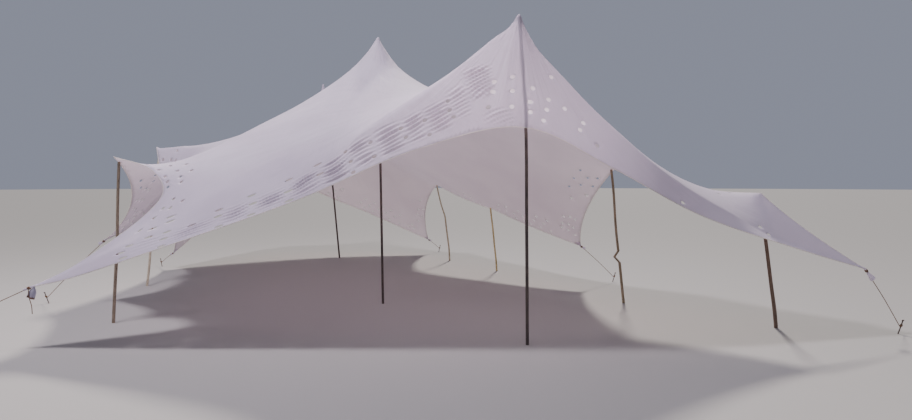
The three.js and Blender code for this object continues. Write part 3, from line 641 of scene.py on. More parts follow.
def shares_at(corners, tests, slack):
    """For each test place in each flat triangle: the shares of the triangle's second and third corner, and
    whether the triangle holds the place."""
    u, v = corners[:, 1] - corners[:, 0], corners[:, 2] - corners[:, 0]
    area = (u[:, 0] * v[:, 1] - u[:, 1] * v[:, 0])[:, None]
    w = tests[None] - corners[:, None, 0]
    second = (w[..., 0] * v[:, None, 1] - w[..., 1] * v[:, None, 0]) / area
    third = (u[:, None, 0] * w[..., 1] - u[:, None, 1] * w[..., 0]) / area
    return second, third, (second >= -slack) & (third >= -slack) & (second + third <= 1 + slack)


class EdgeLine:
    """The canopy's edge as a closed line that starts at the front left tip."""

    def __init__(self, curves):
        parts = [curves[a, b](np.linspace(0, 1, 40)) for a, b in zip(PERIMETER, PERIMETER[1:])]
        self.places = np.concatenate([part[:-1] for part in parts] + [parts[-1][-1:]])
        self.along = distances(self.places)
        self.length = self.along[-1]

    def measure(self, places):
        """For each place: how far along the edge its nearest point is, and how far in it lies."""
        nearest = np.concatenate([
            ((part[:, None] - self.places[None]) ** 2).sum(2).argmin(1)
            for part in np.array_split(places, len(places) // 3000 + 1)])
        return self.along[nearest], np.linalg.norm(places - self.places[nearest], axis=1)

    def at(self, station):
        """The place at a distance along the edge, and the direction of the edge there."""
        place, ahead = (place_at((station + step) % self.length, self.along, self.places) for step in (0, 0.02))
        return place, unit(ahead - place)


class Net:
    """The canopy's mesh while it is shaped: its places, which of them are fixed, and its triangles."""

    def __init__(self, points, curves):
        index, places, fixed, triangles, n = {}, [], [], [], NET_DIVISIONS
        for text in TRIANGLES:
            names = text.split()
            steps = [(n - a - b, a, b) for a in range(n + 1) for b in range(n + 1 - a)]
            shares = grade_shares(names, np.array(steps) / n)
            corners = np.array([points[name] for name in names])
            spots = shares @ corners
            for i, j in ((0, 1), (1, 2), (2, 0)):
                curve = curves.get((names[i], names[j]))
                if curve is None:
                    continue
                reach = shares[:, i] + shares[:, j]
                t = np.where(reach > 0, shares[:, j] / np.maximum(reach, 1e-12), 0)
                bend = curve(t) - (corners[i] + (corners[j] - corners[i]) * t[:, None])
                spots += bend * (reach ** 2)[:, None]
            local = {}
            for step, spot in zip(steps, spots):
                used = [k for k in range(3) if step[k] > 0]
                key = tuple(sorted((names[k], step[k]) for k in used))
                if key not in index:
                    index[key] = len(places)
                    places.append(spot)
                    fixed.append(len(used) == 1 or tuple(names[k] for k in used) in curves)
                local[step] = index[key]
            for a in range(n):
                for b in range(n - a):
                    c = n - a - b
                    first, second, third = (c, a, b), (c - 1, a + 1, b), (c - 1, a, b + 1)
                    triangles.append([local[first], local[second], local[third]])
                    if c > 1:
                        triangles.append([local[second], local[c - 2, a + 1, b + 1], local[third]])
        self.places, self.fixed, self.triangles = np.array(places), np.array(fixed), np.array(triangles)
        lines = [(a, b, 0) for a, b in curves] + [(a, b, pull) for (a, b), pull in STRESS_LINES.items()]
        self.lines, self.line_pulls = [], []
        for a, b, pull in lines:
            stops = [index[tuple(sorted((m, s) for m, s in ((a, n - i), (b, i)) if s > 0))]
                     for i in range(n + 1)]
            self.lines += list(zip(stops, stops[1:]))
            self.line_pulls += [pull] * n
        self.lines, self.line_pulls = np.array(self.lines), np.array(self.line_pulls, float)

    def sides(self):
        """Every side once, sorted by its key, and the three sides of each triangle."""
        t = self.triangles
        pairs = np.stack([t, np.roll(t, -1, axis=1)], axis=2).reshape(-1, 2)
        keys, of = np.unique(pairs.min(1) * KEY + pairs.max(1), return_inverse=True)
        return keys, np.stack([keys // KEY, keys % KEY], axis=1), of.reshape(-1, 3)

    def settle(self, rounds, from_plan):
        """Finds the heights in which the fabric hangs in balance."""
        middle = self.places[self.triangles].mean(1)
        pull = np.ones(len(middle))
        for _, top, _ in MASTS.values():
            pull += MAST_CONE / (np.hypot(middle[:, 0] - top[0], middle[:, 1] - top[1]) + MAST_TIP)
        if from_plan:
            self.places[~self.fixed, 2] = START_HEIGHT
        for step in range(rounds):
            flat = from_plan and step == 0
            at = self.places * ([1, 1, 0] if flat else [1, 1, 1])
            ends = at[self.lines]
            starts, stops = [self.lines[:, 0]], [self.lines[:, 1]]
            strengths = [self.line_pulls / np.linalg.norm(ends[:, 0] - ends[:, 1], axis=1)]
            for k in range(3):
                tip, a, b = (self.triangles[:, (k + i) % 3] for i in range(3))
                u, v = at[a] - at[tip], at[b] - at[tip]
                cross = np.maximum(np.linalg.norm(np.cross(u, v), axis=1), 1e-9)
                starts.append(a)
                stops.append(b)
                strengths.append(pull * (u * v).sum(1) / cross / 2)
            heights = self.balance(*(np.concatenate(part) for part in (starts, stops, strengths)))
            self.places[:, 2] += (1.0 if flat else 0.7) * (heights - self.places[:, 2])

    def balance(self, starts, stops, strengths):
        """Solves for balanced heights by conjugate gradients."""
        count, free = len(self.places), ~self.fixed
        keys, of = np.unique(np.minimum(starts, stops) * KEY + np.maximum(starts, stops), return_inverse=True)
        strengths, a, b = np.bincount(of, strengths), keys // KEY, keys % KEY
        diagonal = np.bincount(a, strengths, count) + np.bincount(b, strengths, count)

        def apply(values):
            flow = strengths * (values[a] - values[b])
            return (np.bincount(a, flow, count) - np.bincount(b, flow, count)) * free

        heights = self.places[:, 2].copy()
        residual = -apply(heights)
        scaled = residual / diagonal
        direction = scaled.copy()
        energy = residual @ scaled
        for _ in range(BALANCE_ROUNDS):
            if energy < 1e-9:
                break
            pushed = apply(direction)
            step = energy / (direction @ pushed)
            heights += step * direction
            residual -= step * pushed
            scaled = residual / diagonal
            next_energy = residual @ scaled
            direction = scaled + next_energy / energy * direction
            energy = next_energy
        return heights

    def refine(self, edge, grain):
        """Splits sides at their middle until none is longer than the grain at its ends. grain gives that
        length from a place, its station along the edge and its distance from it."""
        allowed = grain(self.places, *edge.measure(self.places))
        while True:
            keys, ends, of = self.sides()
            length = np.linalg.norm(self.places[ends[:, 0]] - self.places[ends[:, 1]], axis=1)
            rank = np.empty(len(length), int)
            rank[np.argsort(length)] = np.arange(len(length))
            which = rank[of].argmax(1)
            longest = of[np.arange(len(of)), which]
            need = length > allowed[ends].mean(1)
            if not need.any():
                return
            while True:
                more = np.zeros_like(need)
                more[longest[need[of].any(1)]] = True
                if not (more & ~need).any():
                    break
                need |= more
            uses, wins = np.bincount(of.ravel(), minlength=len(keys)), np.bincount(longest, minlength=len(keys))
            split = np.flatnonzero(need & (uses == wins))
            middle_of = np.full(len(keys), -1)
            middle_of[split] = len(self.places) + np.arange(len(split))
            middles = self.places[ends[split]].mean(1)
            self.places = np.concatenate([self.places, middles])
            allowed = np.concatenate([allowed, grain(middles, *edge.measure(middles))])
            cut = middle_of[longest]
            hit = np.flatnonzero(cut >= 0)
            a, b, c = (self.triangles[hit, (which[hit] + i) % 3] for i in range(3))
            self.triangles = np.concatenate([
                self.triangles[cut < 0], np.stack([a, cut[hit], c], 1), np.stack([cut[hit], b, c], 1)])
            at = np.searchsorted(keys, self.lines.min(1) * KEY + self.lines.max(1))
            middle = middle_of[at]
            cut = middle >= 0
            self.fixed = np.concatenate([self.fixed, np.zeros(len(split), bool)])
            self.fixed[middle[cut & (self.line_pulls == 0)]] = True
            self.lines = np.concatenate([
                self.lines[~cut], np.stack([self.lines[cut, 0], middle[cut]], 1),
                np.stack([middle[cut], self.lines[cut, 1]], 1)])
            self.line_pulls = np.concatenate([
                self.line_pulls[~cut], self.line_pulls[cut], self.line_pulls[cut]])

    def normals(self):
        corners = self.places[self.triangles]
        square = np.cross(corners[:, 1] - corners[:, 0], corners[:, 2] - corners[:, 0])
        normals = np.stack([
            sum(np.bincount(self.triangles[:, k], square[:, axis], len(self.places)) for k in range(3))
            for axis in range(3)], axis=1)
        return normals / np.maximum(np.linalg.norm(normals, axis=1), 1e-12)[:, None]

    def soften(self, rounds, held):
        """Rounds the folds a little: every place moves towards the middle of its neighbours, less where
        its share in held is high."""
        _, ends, _ = self.sides()
        count = len(self.places)
        near = np.maximum(np.bincount(ends.ravel(), minlength=count), 1)
        for _ in range(rounds):
            middle = np.stack([
                (np.bincount(ends[:, 0], self.places[ends[:, 1], axis], count)
                 + np.bincount(ends[:, 1], self.places[ends[:, 0], axis], count)) / near
                for axis in range(3)], axis=1)
            self.places += 0.5 * (middle - self.places) * (1 - held)[:, None]

    def shape_peaks(self):
        """Draws the fabric up to each mast's head in an even cone, from a ring round it."""
        reach = PEAK_REACH
        for _, top, _ in MASTS.values():
            off = self.places[:, :2] - top[:2]
            far, turn = np.hypot(off[:, 0], off[:, 1]), np.arctan2(off[:, 1], off[:, 0])
            ring = np.flatnonzero((far > 0.8 * reach) & (far < 1.25 * reach))
            drop = (top[2] - self.places[ring, 2]) * (reach / far[ring]) ** PEAK_CURVE
            steps = np.linspace(-math.pi, math.pi, 73)
            weight = np.exp((np.cos(steps[:, None] - turn[ring]) - 1) * 90)
            level = (weight * drop).sum(1) / weight.sum(1)
            inside = far < reach
            cone = top[2] - np.interp(turn, steps, level) * (far / reach) ** PEAK_CURVE
            share = 1 - smooth_step(far, 0.45 * reach, reach)
            share *= 1 - smooth_step(top[2] - self.places[:, 2], 0.25, 0.65)
            lift = np.maximum(cone - self.places[:, 2], 0) * share
            self.places[:, 2] += np.where(inside, lift, 0)

    def hem(self):
        """Which places lie on the canopy's edge."""
        _, ends, of = self.sides()
        on = np.zeros(len(self.places), bool)
        on[ends[np.bincount(of.ravel(), minlength=len(ends)) == 1].ravel()] = True
        return on

    def cut_hole(self, centre, along, length, width):
        """Cuts an oval hole, and joins its rim to the fabric round it with small triangles."""
        tip = ((self.places - centre) ** 2).sum(1).argmin()
        corners = self.places[self.triangles[(self.triangles == tip).any(1)]]
        square = np.cross(corners[:, 1] - corners[:, 0], corners[:, 2] - corners[:, 0]).sum(0)
        square = unit(square)
        right = unit(along - square * (along @ square))
        flat = np.stack([right, np.cross(square, right)], 1)
        middles = self.places[self.triangles].mean(1)
        near = np.flatnonzero(((middles - centre) ** 2).sum(1) < HOLE_REACH ** 2)
        spots = (self.places[self.triangles[near]] - centre) @ flat
        turn = np.linspace(0, 2 * math.pi, HOLE_SIDES, endpoint=False)
        ring = np.stack([np.cos(turn) * length / 2, np.sin(turn) * width / 2], 1)
        tests = np.concatenate([ring * HOLE_MARGIN, ring, [[0, 0]]])
        second, third, holds = shares_at(spots, tests, 1e-6)
        if not holds.any(0).all():
            return False
        inside = ((spots / [length / 2, width / 2]) ** 2).sum(2) < HOLE_MARGIN ** 2
        gone = np.flatnonzero(holds.any(1) | inside.any(1))
        patch = self.triangles[near[gone]]
        pairs = np.stack([patch, np.roll(patch, -1, axis=1)], axis=2).reshape(-1, 2)
        there = {tuple(pair) for pair in pairs.tolist()}
        outline = [pair for pair in there if pair[::-1] not in there]
        rim = sorted({vertex for pair in outline for vertex in pair})
        place_of = {vertex: i for i, vertex in enumerate(rim)}
        count = len(rim)
        flat_rim = (self.places[rim] - centre) @ flat
        borders = [(place_of[a], place_of[b]) for a, b in outline]
        borders += [(count + i, count + (i + 1) % HOLE_SIDES) for i in range(HOLE_SIDES)]
        spread = [Vector(p) for p in np.concatenate([flat_rim, ring]).tolist()]
        made, _, faces, sources, _, _ = geometry.delaunay_2d_cdt(spread, borders, [], 0, 1e-7)
        if any(not source for source in sources) or len(made) != len(spread):
            return False
        which = holds[:, HOLE_SIDES:2 * HOLE_SIDES].argmax(0)
        pick = (which, np.arange(HOLE_SIDES, 2 * HOLE_SIDES))
        share = np.stack([1 - second[pick] - third[pick], second[pick], third[pick]], 1)
        owners = self.triangles[near[which]]
        self.places = np.concatenate([self.places, (self.places[owners] * share[..., None]).sum(1)])
        self.cloth = np.concatenate([self.cloth, (self.cloth[owners] * share[..., None]).sum(1)])
        ids = np.array(rim + list(range(len(self.places) - HOLE_SIDES, len(self.places))))
        kept = []
        for face in faces:
            middle = sum((made[i] for i in face), Vector((0, 0))) / 3
            if (middle.x / (length / 2)) ** 2 + (middle.y / (width / 2)) ** 2 < 0.97:
                continue
            if shares_at(spots[gone], np.array(middle)[None], 1e-9)[2].any():
                a, b, c = (made[i] for i in face)
                turned = (b - a).cross(c - a) < 0
                order = [sources[i][0] for i in (face[::-1] if turned else face)]
                kept.append(ids[order])
        keep = np.ones(len(self.triangles), bool)
        keep[near[gone]] = False
        self.triangles = np.concatenate([self.triangles[keep], np.array(kept)])
        return True


def smooth_step(values, low, high):
    t = np.clip((values - low) / (high - low), 0, 1)
    return t * t * (3 - 2 * t)


def soft_noise(u, v, seed):
    """Smooth random swells between -1 and 1, one to a unit of u and v."""
    table = np.random.default_rng(seed).uniform(-1, 1, (67, 67))
    iu, iv = np.floor(u).astype(int), np.floor(v).astype(int)
    fu, fv = smooth_step(u - iu, 0, 1), smooth_step(v - iv, 0, 1)
    corner = [[table[(iu + a) % 67, (iv + b) % 67] for b in (0, 1)] for a in (0, 1)]
    low, high = (corner[a][0] * (1 - fv) + corner[a][1] * fv for a in (0, 1))
    return low * (1 - fu) + high * fu


def sheet_object(name, places, triangles, uv=None):
    """A mesh object at the origin, from places measured at the centre mast's foot."""
    mesh = bpy.data.meshes.new(name)
    mesh.from_pydata((places + ORIGIN).tolist(), [], triangles.tolist())
    if uv is not None:
        layer = mesh.uv_layers.new(name="cloth")
        loops = np.zeros(len(mesh.loops), np.int32)
        mesh.loops.foreach_get("vertex_index", loops)
        layer.data.foreach_set("uv", uv[loops].astype(np.float32).ravel())
    mesh.polygons.foreach_set("use_smooth", [True] * len(mesh.polygons))
    made = bpy.data.objects.new(name, mesh)
    bpy.context.scene.collection.objects.link(made)
    return made


def select_only(made):
    """Selects one object and makes it the active one."""
    bpy.ops.object.select_all(action="DESELECT")
    made.select_set(True)
    bpy.context.view_layer.objects.active = made


def apply_modifiers(made):
    """Applies every modifier of a piece."""
    select_only(made)
    for modifier in list(made.modifiers):
        bpy.ops.object.modifier_apply(modifier=modifier.name)


def recalculate_normals(made):
    select_only(made)
    bpy.ops.object.mode_set(mode="EDIT")
    bpy.ops.mesh.select_all(action="SELECT")
    bpy.ops.mesh.normals_make_consistent(inside=False)
    bpy.ops.object.mode_set(mode="OBJECT")


def fabric_nodes():
    """The nodes that the canopy stands for: all that are no mast, pole, rope, peg or knot."""
    return [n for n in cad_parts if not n.endswith(("_mast", "_pole", "_rope", "_peg", "_knot", "_end"))]


class TentCanopySettings(bpy.types.PropertyGroup):
    wrinkles: FloatProperty(
        name="Wrinkles", description="Height of the wrinkles between the holes, as a share of the real one's",
        default=1.0, min=0, max=2)
    swell: FloatProperty(
        name="Swell", description="Height of the soft swells in the fabric", default=0.006, min=0, max=0.03,
        unit="LENGTH")
    hole_size: FloatProperty(
        name="Hole size", description="Size of the punched holes, as a share of the real ones'", default=1.0,
        min=0.5, max=1.3)


class TentStageSettings(bpy.types.PropertyGroup):
    floor_colour: FloatVectorProperty(
        name="Floor colour", description="Colour of the plain floor", subtype="COLOR", size=3,
        default=linear("#a9a6a1")[:3], min=0, max=1)
    lens: FloatProperty(
        name="Lens", description="Focal length of the camera in mm", default=27.63, min=10, max=200)


class TENT_OT_stage(bpy.types.Operator):
    """Adds the camera, the floor and the soft lights"""
    bl_idname = "tent.stage"
    bl_label = "Stage"

    def execute(self, context):
        settings = context.scene.tent_stage
        camera = bpy.data.objects.new("camera", bpy.data.cameras.new("camera"))
        context.scene.collection.objects.link(camera)
        camera.location = Vector(ORIGIN) + Vector(CAMERA_PLACE)
        camera.rotation_euler = (math.radians(90), 0, 0)
        camera.data.lens = settings.lens
        camera.data.sensor_width = SENSOR_WIDTH
        camera.data.shift_y = CAMERA_SHIFT
        camera.data.clip_end = CAMERA_SIGHT
        context.scene.camera = camera

        bpy.ops.mesh.primitive_circle_add(
            vertices=96, radius=FLOOR_RADIUS, fill_type="NGON", location=(0, 0, 0))
        floor = context.object
        floor.name = "floor"
        material, tree = new_material("studio_floor_paint_matt")
        shader = add_node(tree, "ShaderNodeBsdfPrincipled", {
            "Base Color": [*settings.floor_colour, 1], "Roughness": 0.9})
        add_node(tree, "ShaderNodeOutputMaterial", {"Surface": shader.outputs[0]})
        floor.data.materials.append(material)
        floor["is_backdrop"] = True

        world = bpy.data.worlds.new("studio")
        context.scene.world = world
        world.use_nodes = True
        world.node_tree.nodes["Background"].inputs["Color"].default_value = linear("#d6dcf4")
        world.node_tree.nodes["Background"].inputs["Strength"].default_value = 0.38
        for name, (kind, place, aim, size, spread, power, colour) in LIGHTS.items():
            light = bpy.data.objects.new(name, bpy.data.lights.new(name, kind))
            light.data.energy = power
            if kind == "SUN":
                light.data.angle = math.radians(size)
            else:
                light.data.size = size
                light.data.spread = math.radians(spread)
            light.location = Vector(ORIGIN) + Vector(place)
            light.rotation_euler = (Vector(place) - Vector(aim)).to_track_quat("Z", "Y").to_euler()
            light.data.color = colour
            light.visible_camera = False
            context.scene.collection.objects.link(light)
        return {"FINISHED"}


def fabric_grain(places, station, inset):
    """How long a side of the canopy's mesh may be: fine where it wrinkles, coarse where it lies smooth."""
    grain = np.full(len(places), GRAIN_BROAD)
    grain[places[:, 1] < FRONT_BEGINS_Y] = GRAIN_FRONT
    grain[inset < HOLED_BORDER] = GRAIN_BORDER
    for _, top, _ in MASTS.values():
        far = np.linalg.norm(places - top, axis=1)
        grain = np.minimum(grain, GRAIN_TIP + GRAIN_TIP_GROWTH * far)
    for first, last, height, _, start, end in WRINKLE_CELLS:
        here = (station > first) & (station < last) & (inset > start - 0.02) & (inset < end + 0.03)
        grain[here] = GRAIN_DEEP_WRINKLES if height > DEEP_WRINKLES_MM else GRAIN_SHALLOW_WRINKLES
    return grain


def room_for_masts(places):
    """Rounds each peak over the head of its mast: the fabric moves out from the mast's axis."""
    for foot, top, radius in MASTS.values():
        share = (places[:, 2] / top[2])[:, None]
        axis = np.array(foot) + (np.array(top[:2]) - foot) * share
        off = places[:, :2] - axis
        far = np.maximum(np.linalg.norm(off, axis=1), 1e-6)
        depth = np.clip((top[2] - places[:, 2]) / 0.035, 0, 1)
        need = (radius + 0.004) * np.sqrt(depth) * (far < 0.4) * (far > 1e-4)
        places[:, :2] = axis + off * (np.sqrt(far ** 2 + need ** 2) / far)[:, None]


def wrinkle_heights(station, inset):
    """The fine wrinkles that run between the columns of holes, pinned at both ends."""
    height = np.zeros(len(station))
    for cell, (first, last, rise, climb, start, end) in enumerate(WRINKLE_CELLS):
        t = np.clip((station - first) / (last - first), 0, 1)
        span = np.sin(np.pi * t) ** 1.2
        band = smooth_step(inset, start - 0.01, start + 0.05) * (1 - smooth_step(inset, end - 0.10, end))
        drift = soft_noise(station * 3.1 + cell, inset * 4.0, 11)
        phase = (inset - climb * (station - first)) / WRINKLE_LENGTH + 0.6 * drift + 0.37 * cell
        strength = 1.15 + 0.75 * soft_noise(phase, station * 1.3 + cell, 23)
        height += rise / 1000 * span * band * strength * np.sin(2 * np.pi * phase)
    return height


def hole_places():
    """Where the holes are punched: along, in, length and width of each."""
    for along, insets in HOLES.items():
        size = next(size for size in reversed(HOLE_SIZES) if size[0] <= along)
        for inset in insets:
            yield along, inset, size[1], size[2]
    random = np.random.default_rng(5)
    for first, last, step in HOLE_STRETCHES:
        for row, inset in enumerate(STRETCH_INSETS):
            for along in np.arange(first + (row % 2) * step / 2, last, step):
                slip, drop = random.uniform(-0.03, 0.03, 2)
                yield along + slip, inset + drop * 0.7, 0.056, 0.044


def unfold(places, curves):
    """Two measures along the cloth: to the right, and back over the front ridge from the hem."""
    ridge = np.concatenate([curves[a, b](np.linspace(0, 1, 30)) for a, b in RIDGE_SIDES])
    ridge = ridge[np.argsort(ridge[:, 0])]
    back, top = (np.interp(places[:, 0], ridge[:, 0], ridge[:, k]) for k in (1, 2))
    down = np.hypot(places[:, 1] - back, places[:, 2] - top)
    return np.stack([places[:, 0], np.where(places[:, 1] < back, back - down, places[:, 1])], axis=1)


class TENT_OT_canopy(bpy.types.Operator):
    """Makes the canopy as one continuous stretched sheet, with its wrinkles and its punched holes"""
    bl_idname = "tent.canopy"
    bl_label = "Canopy"

    def execute(self, context):
        settings = context.scene.tent_canopy
        curves = canopy_curves(named_points())
        net, edge = Net(named_points(), curves), EdgeLine(curves)
        net.settle(6, from_plan=True)
        net.refine(edge, fabric_grain)
        near_peak = np.min([np.hypot(*(net.places[:, :2] - top[:2]).T) for _, top, _ in MASTS.values()], axis=0)
        net.fixed |= near_peak < PEAK_HELD
        net.settle(2, from_plan=False)
        net.shape_peaks()
        middle, reach, depth = SAG
        net.places[:, 2] -= depth * np.exp(-(((net.places[:, :2] - middle) / reach) ** 2).sum(1))
        held = np.maximum(1 - smooth_step(near_peak, 0.10, 0.9), net.hem())
        net.soften(5, held)
        room_for_masts(net.places)
        station, inset = edge.measure(net.places)
        swell = soft_noise(net.places[:, 0] * 1.7 + 9, net.places[:, 1] * 1.7 + 9, 3)
        lift = wrinkle_heights(station, inset) * settings.wrinkles + swell * settings.swell
        calm = smooth_step(inset, 0.0, 0.05) * smooth_step(near_peak, 0.05, 0.4)
        net.places += net.normals() * (lift * calm)[:, None]
        net.cloth = unfold(net.places, curves)
        for along, inward, length, width in hole_places():
            for slip in HOLE_SLIPS:
                gap = (station - along) ** 2 + (inset - inward - slip) ** 2
                nearest = gap.argmin()
                _, direction = edge.at(along)
                inner = (net.places[nearest] - edge.at(station[nearest])[0]) / max(inset[nearest], 0.01)
                centre = net.places[nearest] + direction * (along - station[nearest])
                centre += inner * (inward + slip - inset[nearest])
                if net.cut_hole(centre, direction, length * settings.hole_size, width * settings.hole_size):
                    break
            else:
                raise RuntimeError(f"no hole cut {along} m along the edge, {inward} m in")
        canopy = sheet_object("canopy", net.places, net.triangles, net.cloth)
        # Outer knit tinted lavender: painted cool shade. Underside copy cream: painted warm light.
        canopy.data.materials.append(stretch_fabric("stretch_knit_coated_white_painted_sky_shade", "#eae2f3"))
        canopy.data.materials.append(stretch_fabric("stretch_knit_underside_painted_warm_light", "#efe7e0"))
        wall = canopy.modifiers.new("wall", "SOLIDIFY")
        wall.thickness = FABRIC
        wall.offset = 0
        wall.material_offset = 1
        apply_modifiers(canopy)
        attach(canopy, "root")
        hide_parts(*fabric_nodes())
        return {"FINISHED"}


def corner_line(name):
    """A corner's tip, the rope's direction from it, the tie on the peg, and the way out from the tent."""
    tip, peg = CORNERS[name]
    tip, foot = np.array(tip), np.array([*peg, 0.0])
    outward = unit((foot - tip) * [1, 1, 0])
    tie = foot + outward * PEG_LEAN * PEG_TIE / PEG_HEIGHT + [0, 0, PEG_TIE]
    return tip, unit(tie - tip), tie, outward


def smooth_line(places, step):
    """Points a step apart on the smooth curve through the places."""
    places = np.array(places, float)
    fine = np.concatenate([catmull_rom(places, i, np.linspace(0, 1, 40)) for i in range(len(places) - 1)])
    fine = fine[np.r_[True, steps_of(fine) > 1e-7]]
    length = steps_of(fine).sum()
    return evenly(fine)(np.linspace(0, 1, max(int(length / step), 2) + 1))


def frames_along(line, up):
    """At each point of a line: the way ahead, and two square directions that turn as little as they can."""
    ahead = np.gradient(line, axis=0)
    ahead /= np.linalg.norm(ahead, axis=1)[:, None]
    side, sides = np.cross(ahead[0], up), []
    for way in ahead:
        side = side - way * (way @ side)
        side /= np.linalg.norm(side)
        sides.append(side)
    sides = np.array(sides)
    return ahead, sides, np.cross(ahead, sides)


def tube(line, section, up=(0, 0.1, 1), closed=False):
    """Places and triangles of a tube. section gives, for each distance along and each angle round, the
    reach to the side and up."""
    line = np.asarray(line, float)
    ahead, side, above = frames_along(line, np.array(up, float))
    along = distances(line)
    right, high = section(along)
    rings, sides = right.shape
    places = line[:, None] + side[:, None] * right[..., None] + above[:, None] * high[..., None]
    triangles = []
    for i in range(rings if closed else rings - 1):
        a, b = i * sides, (i + 1) % rings * sides
        for j in range(sides):
            k = (j + 1) % sides
            triangles += [(a + j, a + k, b + k), (a + j, b + k, b + j)]
    places = places.reshape(-1, 3)
    if not closed:
        last = (rings - 1) * sides
        places = np.concatenate([places, line[:1], line[-1:]])
        for j in range(sides):
            k = (j + 1) % sides
            triangles += [(len(places) - 2, k, j), (len(places) - 1, last + j, last + k)]
    return places, np.array(triangles), np.repeat(along, sides), np.tile(np.linspace(0, 1, sides), rings)


def laid_rope(radius, sides=12):
    """The section of a rope laid from three strands."""
    turn = np.linspace(0, 2 * math.pi, sides, endpoint=False)

    def section(along):
        angle = turn[None] - 2 * math.pi * along[:, None] / ROPE_LAY
        reach = radius * (1 - 0.24 * (1 - np.abs(np.cos(1.5 * angle))))
        return reach * np.cos(turn), reach * np.sin(turn)
    return section


def add_tube(name, line, section, material, slot, **settings):
    places, triangles, along, turned = tube(line, section, **settings)
    cloth = np.stack([turned * TUBE_GIRTH, along], axis=1)
    cloth = np.concatenate([cloth, np.zeros((len(places) - len(cloth), 2))])
    made = sheet_object(name, places, triangles, cloth)
    recalculate_normals(made)
    made.data.materials.append(material)
    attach(made, "root")
    return made


def select_corners(made, keep):
    """Selects in edit mode the corners of the mesh whose places pass the test, and nothing else."""
    bpy.ops.mesh.select_mode(type="VERT")
    bpy.ops.mesh.select_all(action="DESELECT")
    mesh = bmesh.from_edit_mesh(made.data)
    for vertex in mesh.verts:
        vertex.select = keep(vertex.co)
    mesh.select_flush(True)
    bmesh.update_edit_mesh(made.data)


def round_bar(name, foot, radius, height, cuts, rim, sides=24):
    """An upright bar with rounded rims, cut into levels. It is left in edit mode."""
    bpy.ops.object.select_all(action="DESELECT")
    bpy.ops.mesh.primitive_cylinder_add(
        vertices=sides, radius=radius, depth=height, location=(foot[0], foot[1], height / 2))
    bar = bpy.context.object
    bar.name = bar.data.name = name
    bpy.ops.object.transform_apply(location=True, rotation=True, scale=True)
    bpy.ops.object.mode_set(mode="EDIT")
    for level, width in ((height, rim), (0, 0.002)):
        select_corners(bar, lambda place: abs(place.z - level) < 1e-5)
        bpy.ops.mesh.bevel(offset=width, segments=4, affect="EDGES")
    bpy.ops.mesh.select_mode(type="EDGE")
    bpy.ops.mesh.select_all(action="DESELECT")
    mesh = bmesh.from_edit_mesh(bar.data)
    for side in mesh.edges:
        side.select = abs(side.verts[0].co.z - side.verts[1].co.z) > height / 2
    bmesh.update_edit_mesh(bar.data)
    bpy.ops.mesh.subdivide(number_cuts=cuts)
    return bar


def lean_bar(bar, foot, shape):
    """Moves and resizes each level of a bar by its height, and leaves edit mode."""
    levels = sorted({round(v.co.z, 4) for v in bmesh.from_edit_mesh(bar.data).verts})
    for level in levels:
        select_corners(bar, lambda place: abs(place.z - level) < 6e-5)
        move, size = shape(level)
        bpy.ops.transform.resize(value=(size, size, 1), center_override=(foot[0], foot[1], level))
        bpy.ops.transform.translate(value=(move[0], move[1], 0))
    bpy.ops.object.mode_set(mode="OBJECT")
    bpy.ops.object.shade_smooth_by_angle(angle=math.radians(40))


def head_under_fabric(place, radius):
    """How high a rounded pole head reaches under the canopy."""
    canopy = bpy.data.objects["canopy"]
    middle = Vector((ORIGIN[0], ORIGIN[1] + TENT_MIDDLE_Y, place[2]))
    inward = (middle - Vector(place)).normalized()
    for step in (0, 0.01, 0.02, 0.04, 0.06):
        under = Vector(place) + inward * step - Vector((0, 0, 0.6))
        hit, at, normal, _ = canopy.ray_cast(under, Vector((0, 0, 1)))
        if hit:
            break
    else:
        raise RuntimeError(f"no fabric above {tuple(place)}")
    slope = max(abs(normal.z), 0.5)
    return at.z - (radius + 0.002) / slope + radius


class TentRopeSettings(bpy.types.PropertyGroup):
    radius: FloatProperty(
        name="Rope radius", description="Radius of the guy ropes", default=ROPE_RADIUS, min=0.002, max=0.01,
        unit="LENGTH")
    lashing_turns: IntProperty(
        name="Lashing turns", description="Turns of rope round each gathered corner", default=4, min=2, max=6)


class TentPoleSettings(bpy.types.PropertyGroup):
    bow: FloatProperty(
        name="Bow", description="How much of their real bow the timber poles show", default=1.0, min=0, max=1.5)
    taper: FloatProperty(
        name="Taper", description="How much thinner a timber pole is at its top, as a share", default=0.12,
        min=0, max=0.4)


class TENT_OT_rope_end(bpy.types.Operator):
    """Adds the free end of the front left rope, which hangs from the lashing"""
    bl_idname = "tent.rope_end"
    bl_label = "Rope end"

    def execute(self, context):
        tip, direction, _, _ = corner_line("front_left")
        leave = tip + direction * ROPE_END_LEAVES
        line = smooth_line([leave + np.array(step) for step in ROPE_END_ROUTE], 0.003)
        length = float(steps_of(line).sum())
        radius = context.scene.tent_ropes.radius
        fibre = shared("sisal_rope_three_strand", laid_rope_fibre)
        rope = add_tube("front_left_hanging_rope", line, laid_rope(radius), fibre, "rope")
        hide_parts("front_left_rope_end")
        path = evenly(line)(np.linspace(0, 1, 30)) + ORIGIN
        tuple(path[0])
        return {"FINISHED"}


class TENT_OT_hem(bpy.types.Operator):
    """Adds the rolled and stitched hem round the canopy's edge"""
    bl_idname = "tent.hem"
    bl_label = "Hem"

    def execute(self, context):
        edge = EdgeLine(canopy_curves(named_points()))
        line = evenly(edge.places)(np.linspace(0, 1, 1500))[:-1]
        turn = np.linspace(0, 2 * math.pi, 8, endpoint=False)

        def section(along):
            pucker = 1 + 0.12 * np.sin(2 * math.pi * along[:, None] / 0.09)
            return HEM_RADIUS * pucker * np.cos(turn), HEM_RADIUS * pucker * np.sin(turn)

        hem = add_tube("canopy_hem", line, section, hem_fabric(), "fabric", closed=True)
        return {"FINISHED"}


